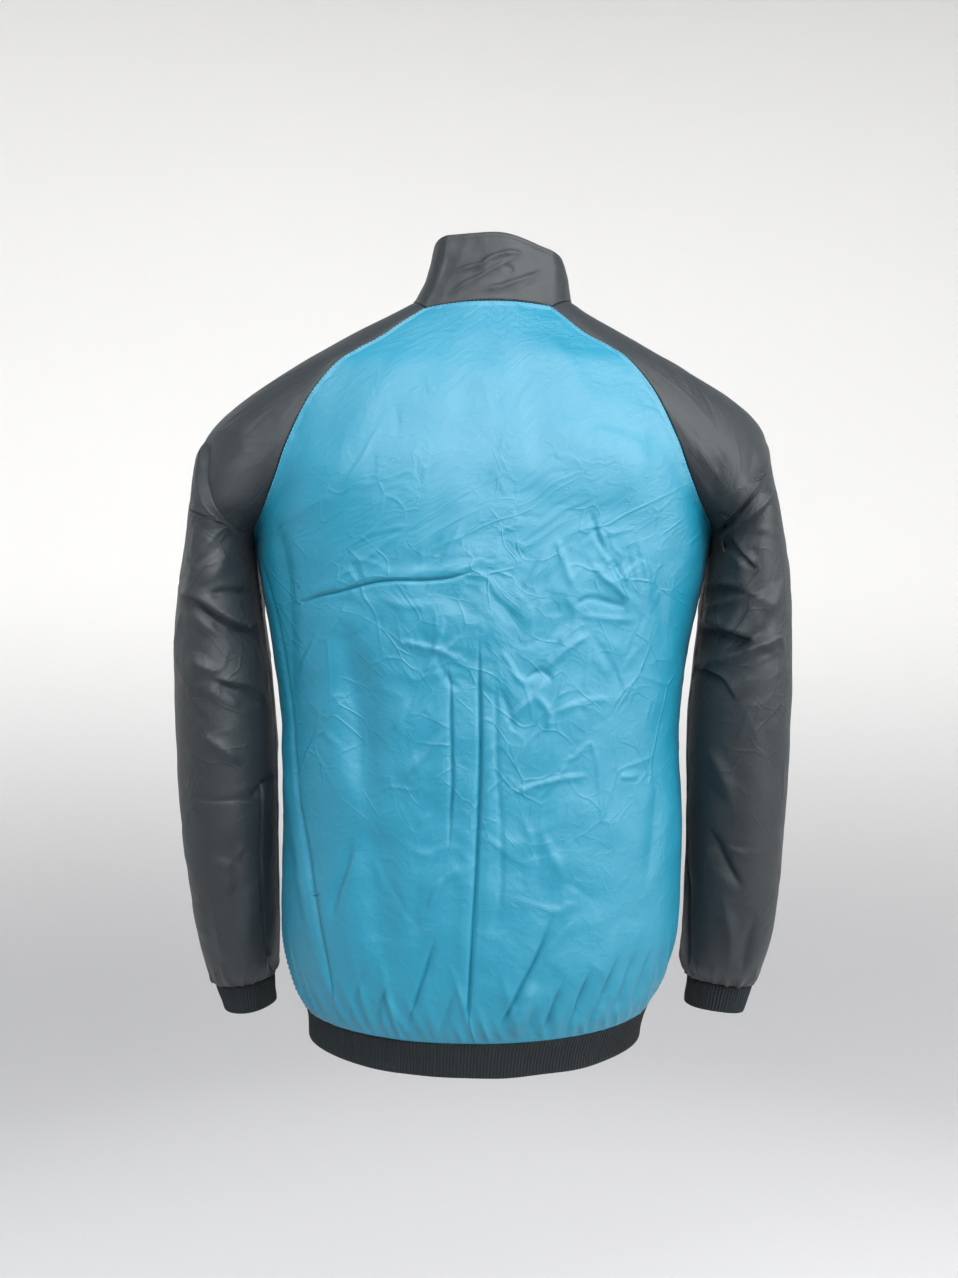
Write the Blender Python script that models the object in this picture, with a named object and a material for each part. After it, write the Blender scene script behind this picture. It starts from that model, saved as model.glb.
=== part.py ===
"""A zip-front windbreaker with raglan sleeves, in the hollow form that it keeps when it is worn.

Units are metres, with +Z up. The wearer faces -Y, so the back of the jacket is at +Y and the wearer's left arm
at +X. The origin is the middle of the neck opening, level with the neck seam at the centre of the back.

Every cloth piece is an open sheet of points, one row for each level of the garment, and gets its wall by a
second layer moved inwards. Neighbouring sheets are worked out from the same seam, so they meet along it with a
small gap.
"""

import math
from collections import namedtuple

import bmesh
import bpy
import numpy as np

# Cloth and seams
CLOTH = 0.0015  # woven shell, wall thickness
RIB = 0.0024  # rib knit of cuffs and hem band, and the doubled cloth of the collar
SEAM_GAP = 0.0003  # between two pieces that are sewn together

# Lengths of the finished jacket
HEM_Z = -0.718  # lower edge of the hem band
BAND_HEIGHT = 0.032
HEM_SEAM_Z = HEM_Z + BAND_HEIGHT
CUFF_HEIGHT = 0.030

# Zip
ZIP_EDGE = 0.005  # from the centre line to the front edge of the cloth
PLACKET = 0.010  # width of the stitched-down strip beside the zip
TAPE = 0.0008  # thickness of the zip tape
TAPE_INNER = 0.0012  # from the centre line to the tape
TEETH = 0.0024  # how far the teeth stand out from the tape
BOX_HEIGHT = 0.009
SLIDER_BELOW_TOP = 0.016  # from the collar's top edge to the middle of the slider
SLIDER_WIDTH, SLIDER_HEIGHT = 0.009, 0.011
PULL_WIDTH, PULL_LENGTH, PULL_THICKNESS = 0.0052, 0.030, 0.001
PULL_WINDOW = (0.0032, 0.008)  # width and height of the opening that the bail passes through

# How finely the sheets are divided
BACK_COLUMNS = 20
FRONT_COLUMNS = 8
SLEEVE_COLUMNS = 16
BODY_ROWS_BELOW_ARM = 14
BAND_ROWS = 2
COLLAR_ROWS = 2
CUFF_ROWS = 2

# Left sleeve, from the cuff seam up to the neck. Each section is an ellipse in a plane that holds the Y
# direction. ridge is its outermost point, seam its innermost one: the underarm line below the armpit, the
# raglan seam above it. opening is the angle from the ridge to the seam, so 180 degrees is a closed ring.
# turn is how far the body panel's edge turns towards the side there. dip lowers the front seam.
SleeveSection = namedtuple(
    "SleeveSection", "ridge_x ridge_z seam_x seam_z opening y_mid depth turn dip"
)
SLEEVE = [
    #             ridge_x ridge_z  seam_x  seam_z opening y_mid  depth turn   dip
    SleeveSection(0.2755, -0.6720, 0.2125, -0.6640, 180, -0.034, 0.032, 90, 0.000),  # cuff seam
    SleeveSection(0.2825, -0.6520, 0.2075, -0.6440, 180, -0.030, 0.047, 90, 0.000),
    SleeveSection(0.2910, -0.6150, 0.2060, -0.6100, 180, -0.024, 0.056, 90, 0.000),
    SleeveSection(0.2970, -0.5550, 0.2060, -0.5520, 180, -0.014, 0.062, 90, 0.000),
    SleeveSection(0.3019, -0.4820, 0.2055, -0.4820, 180, -0.004, 0.068, 90, 0.000),  # elbow
    SleeveSection(0.3032, -0.4000, 0.2065, -0.4060, 180, 0.002, 0.075, 90, 0.000),
    SleeveSection(0.3040, -0.3300, 0.2125, -0.3420, 180, 0.004, 0.080, 90, 0.000),
    SleeveSection(0.2992, -0.2620, 0.2195, -0.2850, 180, 0.005, 0.084, 90, 0.000),
    SleeveSection(0.2890, -0.2020, 0.2255, -0.2300, 180, 0.006, 0.086, 90, 0.000),  # armpit
    SleeveSection(0.2850, -0.1830, 0.2212, -0.2135, 162, 0.006, 0.087, 82, 0.002),
    SleeveSection(0.2825, -0.1680, 0.2118, -0.2020, 147, 0.006, 0.087, 72, 0.004),
    SleeveSection(0.2812, -0.1530, 0.2040, -0.1900, 134, 0.005, 0.087, 60, 0.006),
    SleeveSection(0.2795, -0.1350, 0.1915, -0.1640, 114, 0.005, 0.086, 42, 0.010),
    SleeveSection(0.2680, -0.1100, 0.1810, -0.1360, 98, 0.004, 0.085, 27, 0.014),
    SleeveSection(0.2370, -0.0830, 0.1610, -0.0930, 83, 0.003, 0.083, 17, 0.020),  # point of the shoulder
    SleeveSection(0.1860, -0.0510, 0.1395, -0.0635, 77, 0.003, 0.078, 14, 0.026),
    SleeveSection(0.1573, -0.0345, 0.1215, -0.0485, 75, 0.002, 0.072, 13, 0.030),
    SleeveSection(0.1319, -0.0195, 0.0970, -0.0330, 75, 0.001, 0.066, 12, 0.034),
    SleeveSection(0.1040, -0.0045, 0.0790, -0.0180, 77, 0.000, 0.060, 11, 0.038),
    SleeveSection(0.0790, 0.0115, 0.0600, -0.0030, 80, -0.001, 0.053, 10, 0.041),  # neck seam
]
ARMPIT_ROW = 8
NECK_ROW = len(SLEEVE) - 1
ROWS_PER_SECTION_BELOW = 2

# Half width of the body at the side seam, and the y of that seam
BodySide = namedtuple("BodySide", "z half_width y")
BODY_SIDE = [
    BodySide(HEM_SEAM_Z, 0.1720, 0.000),
    BodySide(-0.6720, 0.1785, 0.000),
    BodySide(-0.6480, 0.1880, 0.000),
    BodySide(-0.6180, 0.1950, 0.000),
    BodySide(-0.5700, 0.1980, 0.000),
    BodySide(-0.4800, 0.1970, 0.002),
    BodySide(-0.3910, 0.1970, 0.004),
    BodySide(-0.3310, 0.2050, 0.005),
    BodySide(-0.2810, 0.2150, 0.006),
    BodySide(-0.2300, 0.2255, 0.006),
]
HEM_RISE = 0.016  # how much higher the hem is at the sides than at its middle

# The centre line of the back and of the front
Profile = namedtuple("Profile", "z y")
BACK_LINE = [
    Profile(HEM_SEAM_Z, 0.1150),
    Profile(-0.6700, 0.1210),
    Profile(-0.6480, 0.1255),
    Profile(-0.6150, 0.1280),
    Profile(-0.5000, 0.1255),
    Profile(-0.3800, 0.1265),
    Profile(-0.2800, 0.1280),
    Profile(-0.2000, 0.1245),
    Profile(-0.1355, 0.1150),
    Profile(-0.0960, 0.1045),
    Profile(-0.0670, 0.0940),
    Profile(-0.0355, 0.0790),
    Profile(0.0000, 0.0600),
]
FRONT_LINE = [
    Profile(HEM_SEAM_Z, -0.1180),
    Profile(-0.6700, -0.1240),
    Profile(-0.6480, -0.1290),
    Profile(-0.6150, -0.1320),
    Profile(-0.5000, -0.1350),
    Profile(-0.3800, -0.1400),
    Profile(-0.2800, -0.1430),
    Profile(-0.2100, -0.1380),
    Profile(-0.1500, -0.1240),
    Profile(-0.1100, -0.1060),
    Profile(-0.0860, -0.0900),
    Profile(-0.0630, -0.0740),
]
BACK_RISE = 0.0045  # the back neck seam at the centre, above the end of the raglan seam
FRONT_DROP = 0.0170  # the front neck seam at the zip, below the end of the raglan seam

# How the wearer stands: the sideways shift of the body, and of the arms, at each height
Stance = namedtuple("Stance", "z body arms")
STANCE = [
    Stance(HEM_Z, 0.0080, -0.0035),
    Stance(-0.660, 0.0040, -0.0035),
    Stance(-0.600, 0.0015, -0.0030),
    Stance(-0.500, 0.0000, -0.0015),
    Stance(-0.400, 0.0010, -0.0010),
    Stance(-0.300, 0.0010, -0.0015),
    Stance(-0.200, 0.0000, -0.0020),
    Stance(-0.100, 0.0000, -0.0030),
    Stance(-0.050, -0.0010, -0.0030),
    Stance(-0.020, -0.0030, -0.0030),
    Stance(0.000, -0.0070, -0.0070),
    Stance(0.030, -0.0145, -0.0145),
    Stance(0.070, -0.0175, -0.0175),
]
SHOULDER_TILT = 0.012  # the left shoulder hangs lower: fall for each metre towards it

# The stand collar's top edge, from the zip (place 0) to the centre of the back (place 1)
CollarTop = namedtuple("CollarTop", "place z")
COLLAR = [
    CollarTop(0.00, -0.003),
    CollarTop(0.20, 0.011),
    CollarTop(0.40, 0.036),
    CollarTop(0.60, 0.060),
    CollarTop(0.80, 0.068),
    CollarTop(1.00, 0.069),
]

# The way the forearm points, and how much the cuff narrows along it
FOREARM = (-0.13, -0.16, -1.0)
CUFF_NARROWING = 0.10

# The largest folds, each a line of three points in x and z. side is 1 on the back, -1 on the front. height is
# out of the cloth: negative for a trough.
Fold = namedtuple("Fold", "side x0 z0 x1 z1 x2 z2 height width")
FOLDS = [
    Fold(1, 0.200, -0.300, 0.176, -0.440, 0.134, -0.672, -0.0045, 0.014),  # long line down from the left armpit
    Fold(1, 0.168, -0.290, 0.083, -0.267, 0.004, -0.260, -0.0035, 0.013),  # across the left shoulder blade
    Fold(1, 0.003, -0.320, 0.004, -0.520, 0.008, -0.680, -0.0040, 0.014),  # down the middle
    Fold(1, -0.030, -0.300, -0.012, -0.420, -0.015, -0.560, 0.0030, 0.016),
    Fold(1, -0.060, -0.230, -0.130, -0.260, -0.150, -0.330, -0.0035, 0.016),  # crumple below the right blade
    Fold(1, 0.267, -0.135, 0.254, -0.195, 0.219, -0.231, -0.0050, 0.013),  # step on the left upper arm
    Fold(1, 0.283, -0.278, 0.250, -0.298, 0.220, -0.302, -0.0045, 0.013),  # left elbow
    Fold(1, 0.251, -0.359, 0.228, -0.368, 0.216, -0.386, -0.0040, 0.014),
    Fold(1, -0.218, -0.238, -0.240, -0.219, -0.273, -0.180, -0.0050, 0.013),  # right upper arm
    Fold(1, -0.202, -0.294, -0.221, -0.307, -0.253, -0.321, -0.0050, 0.013),  # right elbow
    Fold(1, -0.218, -0.345, -0.259, -0.326, -0.290, -0.310, 0.0040, 0.014),
]

# Colour, roughness and metallic value of each material
Finish = namedtuple("Finish", "colour roughness metallic")
FINISHES = {
    "blue_cloth": Finish((0.055, 0.32, 0.50), 0.45, 0.0),
    "black_cloth": Finish((0.045, 0.050, 0.055), 0.50, 0.0),
    "black_rib": Finish((0.022, 0.026, 0.028), 0.90, 0.0),
    "zip_tape": Finish((0.020, 0.020, 0.022), 0.85, 0.0),
    "zip_metal": Finish((0.030, 0.030, 0.032), 0.35, 0.6),
}


# The slot and the wall of each cloth piece
CLOTH_PIECES = {
    "back": ("blue_cloth", CLOTH),
    "front_left": ("blue_cloth", CLOTH),
    "front_right": ("blue_cloth", CLOTH),
    "sleeve_left": ("black_cloth", CLOTH),
    "sleeve_right": ("black_cloth", CLOTH),
    "cuff_left": ("black_rib", RIB),
    "cuff_right": ("black_rib", RIB),
    "hem_band": ("black_rib", RIB),
    "collar": ("black_cloth", RIB),
}


# ---------------------------------------------------------------- curves through tables


def smooth(at, known, values):
    """Values at the given places, on a cubic curve through the known ones with slopes from their neighbours."""
    at, known, values = (np.asarray(x, float) for x in (at, known, values))
    slopes = np.gradient(values, known, axis=0)
    i = np.clip(np.searchsorted(known, at, side="right") - 1, 0, len(known) - 2)
    step = known[i + 1] - known[i]
    t = (at - known[i]) / step
    if values.ndim > 1:
        t, step = t[:, None], step[:, None]
    return (
        (1 + 2 * t) * (1 - t) ** 2 * values[i]
        + t * (1 - t) ** 2 * step * slopes[i]
        + t * t * (3 - 2 * t) * values[i + 1]
        + t * t * (t - 1) * step * slopes[i + 1]
    )


def column_at(table, name, z):
    """A named column of a table that is ordered by z, at the given heights."""
    return smooth(z, [row.z for row in table], [getattr(row, name) for row in table])


def section_at(levels):
    """The sleeve table at fractional row numbers, as a dict of named columns."""
    rows = smooth(levels, np.arange(len(SLEEVE)), np.array(SLEEVE, float))
    columns = dict(zip(SleeveSection._fields, rows.T))
    columns["opening"] = np.minimum(columns["opening"], 180.0)
    columns["opening"][np.asarray(levels) <= ARMPIT_ROW] = 180.0
    return columns


# ---------------------------------------------------------------- sheets of points
#
# Rows go up. Columns go anticlockwise as seen from above, which makes every sheet face outwards.


def sleeve_levels():
    """Fractional rows of the sleeve table, from the cuff seam to the neck seam."""
    below = np.linspace(0, ARMPIT_ROW, ARMPIT_ROW * ROWS_PER_SECTION_BELOW + 1)
    return np.concatenate([below[:-1], arm_levels()])


def arm_levels():
    """Fractional rows from the armpit to the neck, which the sleeve shares with the body panels."""
    return np.arange(ARMPIT_ROW, NECK_ROW + 1, dtype=float)


def sleeve_sheet(levels, columns):
    """The left sleeve: each row runs from the front seam over the ridge to the back seam."""
    at = section_at(levels)
    opening = np.radians(at["opening"])[:, None]
    angle = opening * np.linspace(-1, 1, columns + 1)[None, :]
    inwards = (1 - np.cos(angle)) / (1 - np.cos(opening))  # 0 on the ridge, 1 at the seam
    front = np.where(angle < 0, np.sin(angle) ** 2, 0)
    across = {k: at[k][:, None] for k in at}
    x = across["ridge_x"] + inwards * (across["seam_x"] - across["ridge_x"])
    y = across["y_mid"] + across["depth"] * np.sin(angle)
    z = across["ridge_z"] + inwards * (across["seam_z"] - across["ridge_z"]) - across["dip"] * front
    return np.stack([x, y, z], axis=-1)


def body_edges(side):
    """The edge of a body panel from hem to neck: its points, the turn there and the centre line's heights.

    side is 1 for the back and -1 for the front.
    """
    z = np.linspace(HEM_SEAM_Z, SLEEVE[ARMPIT_ROW].seam_z, BODY_ROWS_BELOW_ARM + 1)[:-1]
    half_width, y = (column_at(BODY_SIDE, name, z) for name in ("half_width", "y"))
    side_z = z + HEM_RISE * (1 - smoothstep(z, HEM_SEAM_Z, -0.500))
    side_seam = np.stack([half_width, y, side_z], axis=-1)
    levels = arm_levels()
    raglan = sleeve_sheet(levels, 2)[:, -1 if side > 0 else 0]
    up = (levels - ARMPIT_ROW) / (NECK_ROW - ARMPIT_ROW)
    bow = BACK_RISE * up**3 if side > 0 else -FRONT_DROP * up**2
    edges = np.concatenate([side_seam, raglan])
    turns = np.concatenate([np.full(len(z), 90.0), section_at(levels)["turn"]])
    centre_z = np.concatenate([z, raglan[:, 2] + bow])
    return edges, turns, centre_z


def row_to_edge(start, edge, turn, side, shares):
    """Points from the centre line to the edge, at the given shares of the curve's length.

    In plan the curve leaves the centre line straight across and reaches the edge turned by the given angle.
    """
    across, deep = edge[0] - start[0], abs(start[1] - edge[1])
    angle = math.radians(turn)
    handle = 0.36 * across * math.cos(angle) + 0.62 * deep * math.sin(angle)
    corners = np.array(
        [
            [start[0], start[1]],
            [start[0] + (0.40 + 0.22 * math.sin(angle)) * across, start[1]],
            [edge[0] - handle * math.cos(angle), edge[1] + side * handle * math.sin(angle)],
            [edge[0], edge[1]],
        ]
    )
    t = np.linspace(0, 1, 41)
    weights = np.stack([(1 - t) ** 3, 3 * t * (1 - t) ** 2, 3 * t**2 * (1 - t), t**3], axis=-1)
    plan = weights @ corners
    along = np.concatenate([[0], np.cumsum(np.linalg.norm(np.diff(plan, axis=0), axis=1))])
    wanted = shares(along[-1])
    x, y = (np.interp(wanted * along[-1], along, plan[:, k]) for k in (0, 1))
    return np.stack([x, y, start[2] + (edge[2] - start[2]) * wanted**2], axis=-1)


def panel_rows(side, table, centre_x, shares):
    """Each row of a body panel's half, from the centre line to the edge."""
    edges, turns, centre_z = body_edges(side)
    centre_y = column_at(table, "y", centre_z)
    return np.array(
        [
            row_to_edge((centre_x, y, z), edge, turn, side, shares)
            for edge, turn, y, z in zip(edges, turns, centre_y, centre_z)
        ]
    )


def back_sheet(columns):
    """The back panel, each row from the wearer's left edge to the right one."""
    half = panel_rows(1, BACK_LINE, 0.0, lambda length: np.linspace(0, 1, columns // 2 + 1))
    return np.concatenate([half[:, ::-1], mirrored(half[:, ::-1])[:, 1:]], axis=1)


def front_sheet(columns):
    """The left front, each row from the zip to the side or raglan seam. Its first column is the placket."""

    def shares(length):
        return np.concatenate([[0], np.linspace(PLACKET / length, 1, columns)])

    return panel_rows(-1, FRONT_LINE, ZIP_EDGE, shares)


def mirrored(sheet):
    """The sheet on the wearer's other side, its columns reversed so that it still faces outwards."""
    return sheet[:, ::-1] * (-1, 1, 1)


def right_round(front_row, back_row, sleeve_row=None):
    """One row right round the jacket, from the left side of the zip to its right side."""
    left = front_row if sleeve_row is None else np.concatenate([front_row, sleeve_row[1:]])
    return np.concatenate([left, back_row[1:-1], left[::-1] * (-1, 1, 1)])


def near_zip(ring):
    """Which points of a ring belong to the placket beside the zip."""
    at_front = ring[:, 1] < ring[:, 1].mean()
    return at_front & (np.abs(ring[:, 0]) < ZIP_EDGE + 1.2 * PLACKET)


def band_sheet(seam_ring):
    """The hem band, which draws in a little below the seam."""
    below = seam_ring * (0.955, 0.955, 1.0)
    below[near_zip(seam_ring), 0] = seam_ring[near_zip(seam_ring), 0]
    below[:, 2] -= BAND_HEIGHT
    share = np.linspace(1, 0, BAND_ROWS + 1)[:, None, None]
    drawn_in = np.concatenate([1 - (1 - share) ** 2, 1 - (1 - share) ** 2, share], axis=2)
    return seam_ring + (below - seam_ring) * drawn_in


def collar_sheet(neck_ring):
    """The stand collar, which leans in towards the neck."""
    y = neck_ring[:, 1]
    place = (y - y.min()) / (y.max() - y.min())  # 0 at the zip, 1 at the centre of the back
    top = neck_ring * (0.84, 0.94, 1.0) + (0.0, -0.004, 0.0)
    top[:, 2] = smooth(place, [row.place for row in COLLAR], [row.z for row in COLLAR])
    top[near_zip(neck_ring), 0] = neck_ring[near_zip(neck_ring), 0]
    share = np.linspace(0, 1, COLLAR_ROWS + 1)[:, None, None]
    early = share + 0.35 * share * (1 - share)
    return neck_ring + (top - neck_ring) * np.concatenate([early, early, share], axis=2)


def cuff_sheet(seam_ring):
    """The left cuff, which narrows towards the wrist and points the way the forearm does."""
    centre = seam_ring[:-1].mean(axis=0)
    forearm = np.array(FOREARM) / np.linalg.norm(FOREARM)
    share = np.linspace(1, 0, CUFF_ROWS + 1)[:, None, None]
    narrow = 1 - CUFF_NARROWING * share
    return centre + (seam_ring - centre) * narrow + forearm * share * CUFF_HEIGHT


# ---------------------------------------------------------------- what the whole jacket shares


def smoothstep(value, low, high):
    share = np.clip((value - low) / (high - low), 0, 1)
    return share * share * (3 - 2 * share)


def posed(points):
    """The points moved with the wearer's stance. The zip stays in the middle."""
    x, y, z = (points[..., k] for k in range(3))
    shifts = smooth(z.ravel(), [row.z for row in STANCE], [(row.body, row.arms) for row in STANCE])
    body, arms = shifts.T.reshape(2, *z.shape)
    on_arm = smoothstep(np.abs(x), 0.195, 0.250)
    sideways = (body + (arms - body) * on_arm) * smoothstep(y, -0.066, 0.0)
    fall = SHOULDER_TILT * x * smoothstep(z, -0.40, -0.10)
    return np.stack([x + sideways, y, z - fall], axis=-1)


def seam_index(sheets):
    """For each sheet the number of each of its points. Points that pieces share have the same number."""
    points = np.concatenate([sheet.reshape(-1, 3) for sheet in sheets.values()])
    _, number = np.unique(np.round(points * 1e6).astype(np.int64), axis=0, return_inverse=True)
    numbers, first = {}, 0
    for name, sheet in sheets.items():
        count = sheet.shape[0] * sheet.shape[1]
        numbers[name] = number.reshape(-1)[first : first + count].reshape(sheet.shape[:2])
        first += count
    return numbers, number.max() + 1


def shared_normals(sheets):
    """The outward normal at each point of each sheet, the same on both sides of a seam."""
    numbers, count = seam_index(sheets)
    total = np.zeros((count, 3))
    for name, sheet in sheets.items():
        facing = np.cross(sheet[1:, 1:] - sheet[:-1, :-1], sheet[1:, :-1] - sheet[:-1, 1:])
        at = numbers[name]
        for corner in (at[:-1, :-1], at[:-1, 1:], at[1:, 1:], at[1:, :-1]):
            np.add.at(total, corner, facing)
    total /= np.linalg.norm(total, axis=1)[:, None]
    return {name: total[numbers[name]] for name in sheets}


def wall_normals(sheets):
    """The direction out of each wall: shared across a seam, but for the tight crotch under the arm.

    There the body's wall and the sleeve's wall each keep their own side.
    """
    shared = shared_normals(sheets)
    arms = {name: sheet for name, sheet in sheets.items() if name.startswith(("sleeve", "cuff"))}
    body = {name: sheet for name, sheet in sheets.items() if name not in arms}
    for name, own in (shared_normals(arms) | shared_normals(body)).items():
        apart = 1 - smoothstep((shared[name] * own).sum(axis=-1, keepdims=True), 0.3, 0.8)
        both = shared[name] * (1 - apart) + own * apart
        shared[name] = both / np.linalg.norm(both, axis=-1, keepdims=True)
    return shared


def inner_neighbours(sheet):
    """For each point on a sheet's border its neighbour inside the sheet, and for the others the point itself."""
    rows, columns = sheet.shape[:2]
    i = np.clip(np.arange(rows), 1, rows - 2)
    j = np.clip(np.arange(columns), 1, columns - 2)
    return sheet[np.ix_(i, j)]


def parted(sheets, gap):
    """The sheets with each moved back from its seams by half of the gap.

    A point moves away from what the other pieces do beside the seam, mostly from the one that is nearest, and
    by more where they lie close together, as under the arm.
    """
    numbers, _ = seam_index(sheets)
    meeting = {}
    for name, sheet in sheets.items():
        for number, beside in zip(numbers[name].ravel(), inner_neighbours(sheet).reshape(-1, 3)):
            meeting.setdefault(number, []).append((name, beside))
    apart = {}
    for name, sheet in sheets.items():
        moved = sheet.copy()
        for place in np.ndindex(sheet.shape[:2]):
            around = meeting[numbers[name][place]]
            pushes = [
                (own - other) / np.linalg.norm(own - other) ** 3
                for mine, own in around
                for theirs, other in around
                if mine == name and theirs != name
            ]
            if pushes:
                away = sum(pushes)
                reach = np.mean([np.linalg.norm(beside - sheet[place]) for _, beside in around])
                nearest = max(np.linalg.norm(push) for push in pushes) ** -0.5
                tight = min(1.0, max(0.25, nearest / (1.4 * reach)))
                moved[place] += away / np.linalg.norm(away) * gap / 2 / tight
        apart[name] = moved
    return apart


def distance_to(line, x, z):
    """The distance from points to a polyline, both in the plane of x and z."""
    nearest = np.full(x.shape, np.inf)
    for (x0, z0), (x1, z1) in zip(line, line[1:]):
        length = math.hypot(x1 - x0, z1 - z0)
        ux, uz = (x1 - x0) / length, (z1 - z0) / length
        along = np.clip((x - x0) * ux + (z - z0) * uz, 0, length)
        nearest = np.minimum(nearest, np.hypot(x - x0 - along * ux, z - z0 - along * uz))
    return nearest


def fold_height(points, normals):
    """How far the folds move each point along its normal."""
    x, z = points[..., 0], points[..., 2]
    height = np.zeros(x.shape)
    for fold in FOLDS:
        line = [(fold.x0, fold.z0), (fold.x1, fold.z1), (fold.x2, fold.z2)]
        seen = smoothstep(fold.side * normals[..., 1], 0.0, 0.5)
        height += fold.height * seen * np.exp(-((distance_to(line, x, z) / fold.width) ** 2))
    return height


def folded(sheets):
    normals = shared_normals(sheets)
    return {
        name: sheet + normals[name] * fold_height(sheet, normals[name])[..., None]
        for name, sheet in sheets.items()
    }


# ---------------------------------------------------------------- from sheets to objects


def walled_mesh(name, sheet, normals, wall, ring=0):
    """A closed mesh: the sheet, a copy of it moved in by the wall, and the rim between them.

    In the first ring rows the sheet is a tube, whose last column is its first one.
    """
    rows, columns = sheet.shape[:2]
    bm = bmesh.new()
    layers = []
    for points in (sheet, sheet - normals * wall):
        grid = [[bm.verts.new(point) for point in row[:-1]] for row in points]
        for i in range(rows):
            grid[i].append(grid[i][0] if i < ring else bm.verts.new(points[i, -1]))
        layers.append(grid)
    outside, inside = layers

    def face(*corners):
        bm.faces.new(corners)

    for i in range(rows - 1):
        for j in range(columns - 1):
            face(outside[i][j], outside[i][j + 1], outside[i + 1][j + 1], outside[i + 1][j])
            face(inside[i][j], inside[i + 1][j], inside[i + 1][j + 1], inside[i][j + 1])
    for j in range(columns - 1):
        face(outside[0][j + 1], outside[0][j], inside[0][j], inside[0][j + 1])
        face(outside[-1][j], outside[-1][j + 1], inside[-1][j + 1], inside[-1][j])
    for i in range(max(ring - 1, 0), rows - 1):
        face(outside[i][0], outside[i + 1][0], inside[i + 1][0], inside[i][0])
        face(outside[i + 1][-1], outside[i][-1], inside[i][-1], inside[i + 1][-1])
    mesh = bpy.data.meshes.new(name)
    bm.to_mesh(mesh)
    bm.free()
    return mesh


def tape_sheet(pieces, normals):
    """The left zip tape, made from the points of the pieces that it is sewn behind, moved inwards."""
    rows = []
    for name, wall in (("hem_band", RIB), ("front_left", CLOTH), ("collar", RIB)):
        for row, facing in zip(pieces[name], normals[name]):
            edge, strip = row[:2] - facing[:2] * (wall + SEAM_GAP)
            inner = edge + (edge - strip) * (edge[0] - TAPE_INNER) / (strip[0] - edge[0])
            rows.append([inner, strip])
    first, last = len(pieces["hem_band"]), -len(pieces["collar"])
    return np.array(rows[:first] + rows[first + 1 : last - 1] + rows[last:])


def material_of(slot):
    """The slot's material, made once."""
    if slot in bpy.data.materials:
        return bpy.data.materials[slot]
    finish = FINISHES[slot]
    material = bpy.data.materials.new(slot)
    material.use_nodes = True
    shader = material.node_tree.nodes["Principled BSDF"]
    shader.inputs["Base Color"].default_value = (*finish.colour, 1.0)
    shader.inputs["Roughness"].default_value = finish.roughness
    shader.inputs["Metallic"].default_value = finish.metallic
    return material


def collection_of(name):
    """The collection of that name, made once."""
    if name not in bpy.data.collections:
        bpy.context.scene.collection.children.link(bpy.data.collections.new(name))
    return bpy.data.collections[name]


def add_object(name, mesh, slot):
    """A piece of the jacket, with its slot's material."""
    part = bpy.data.objects.new(name, mesh)
    mesh.materials.append(material_of(slot))
    collection_of("windbreaker").objects.link(part)
    return part


def block_mesh(name, low, high):
    """A box between two opposite corners."""
    bm = bmesh.new()
    bmesh.ops.create_cube(bm, size=1.0)
    low, high = np.array(low), np.array(high)
    for vert in bm.verts:
        vert.co = low + (np.array(vert.co) + 0.5) * (high - low)
    mesh = bpy.data.meshes.new(name)
    bm.to_mesh(mesh)
    bm.free()
    return mesh


def combine(part, mesh, operation):
    """Joins the mesh to the part, or cuts it away."""
    other = bpy.data.objects.new(mesh.name, mesh)
    other.location = part.location
    other.hide_render = True
    other.display_type = "WIRE"
    collection_of("joined and cut").objects.link(other)
    boolean = part.modifiers.new(operation.title(), "BOOLEAN")
    boolean.operation = operation
    boolean.solver = "EXACT"
    boolean.object = other


def add_slider(front, middle):
    """The slider: two plates that hold the chain, the wedge between them and the bail in front.

    front is the y of the tape's face and middle the height of the slider's centre.
    """
    half, tall = SLIDER_WIDTH / 2, SLIDER_HEIGHT / 2
    face = front - TEETH - 0.0004  # back of the front plate
    blocks = [
        ((-half, face - 0.0015, -tall), (half, face, tall)),  # front plate
        ((-half, face - 0.0005, -tall), (-half + 0.0007, front - 0.0004, tall)),  # side flanges
        ((half - 0.0007, face - 0.0005, -tall), (half, front - 0.0004, tall)),
        ((-0.0006, face - 0.0005, 0.0015), (0.0006, front + TAPE + 0.0010, tall)),  # wedge
        ((-half, front + TAPE + 0.0005, -tall), (half, front + TAPE + 0.0014, tall)),  # back plate
        ((-0.0009, face - 0.0037, 0.0030), (0.0009, face - 0.0010, 0.0042)),  # bail
        ((-0.0009, face - 0.0037, -0.0042), (0.0009, face - 0.0010, -0.0030)),
        ((-0.0009, face - 0.0049, -0.0042), (0.0009, face - 0.0034, 0.0042)),
    ]
    placed = [[(x, y, z + middle) for x, y, z in block] for block in blocks]
    slider = add_object("zip_slider", block_mesh("zip_slider", *placed[0]), "zip_metal")
    for number, block in enumerate(placed[1:]):
        combine(slider, block_mesh(f"slider_{number}", *block), "UNION")
    return face - 0.0015 - 0.0009, middle + 0.0018  # where the pull's bar turns


def add_pull(bar_y, bar_z):
    """The pull tab, hanging from the bail by the bar at its top. Its origin is the axis that it turns about."""
    half, thick = PULL_WIDTH / 2, PULL_THICKNESS / 2
    tab = block_mesh("zip_pull", (-half, -thick, thick - PULL_LENGTH), (half, thick, thick))
    pull = add_object("zip_pull", tab, "zip_metal")
    pull.location = (0.0, bar_y, bar_z)
    window, tall = PULL_WINDOW[0] / 2, PULL_WINDOW[1]
    opening = block_mesh("pull_window", (-window, -3 * thick, -thick - tall), (window, 3 * thick, -thick))
    combine(pull, opening, "DIFFERENCE")


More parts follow.
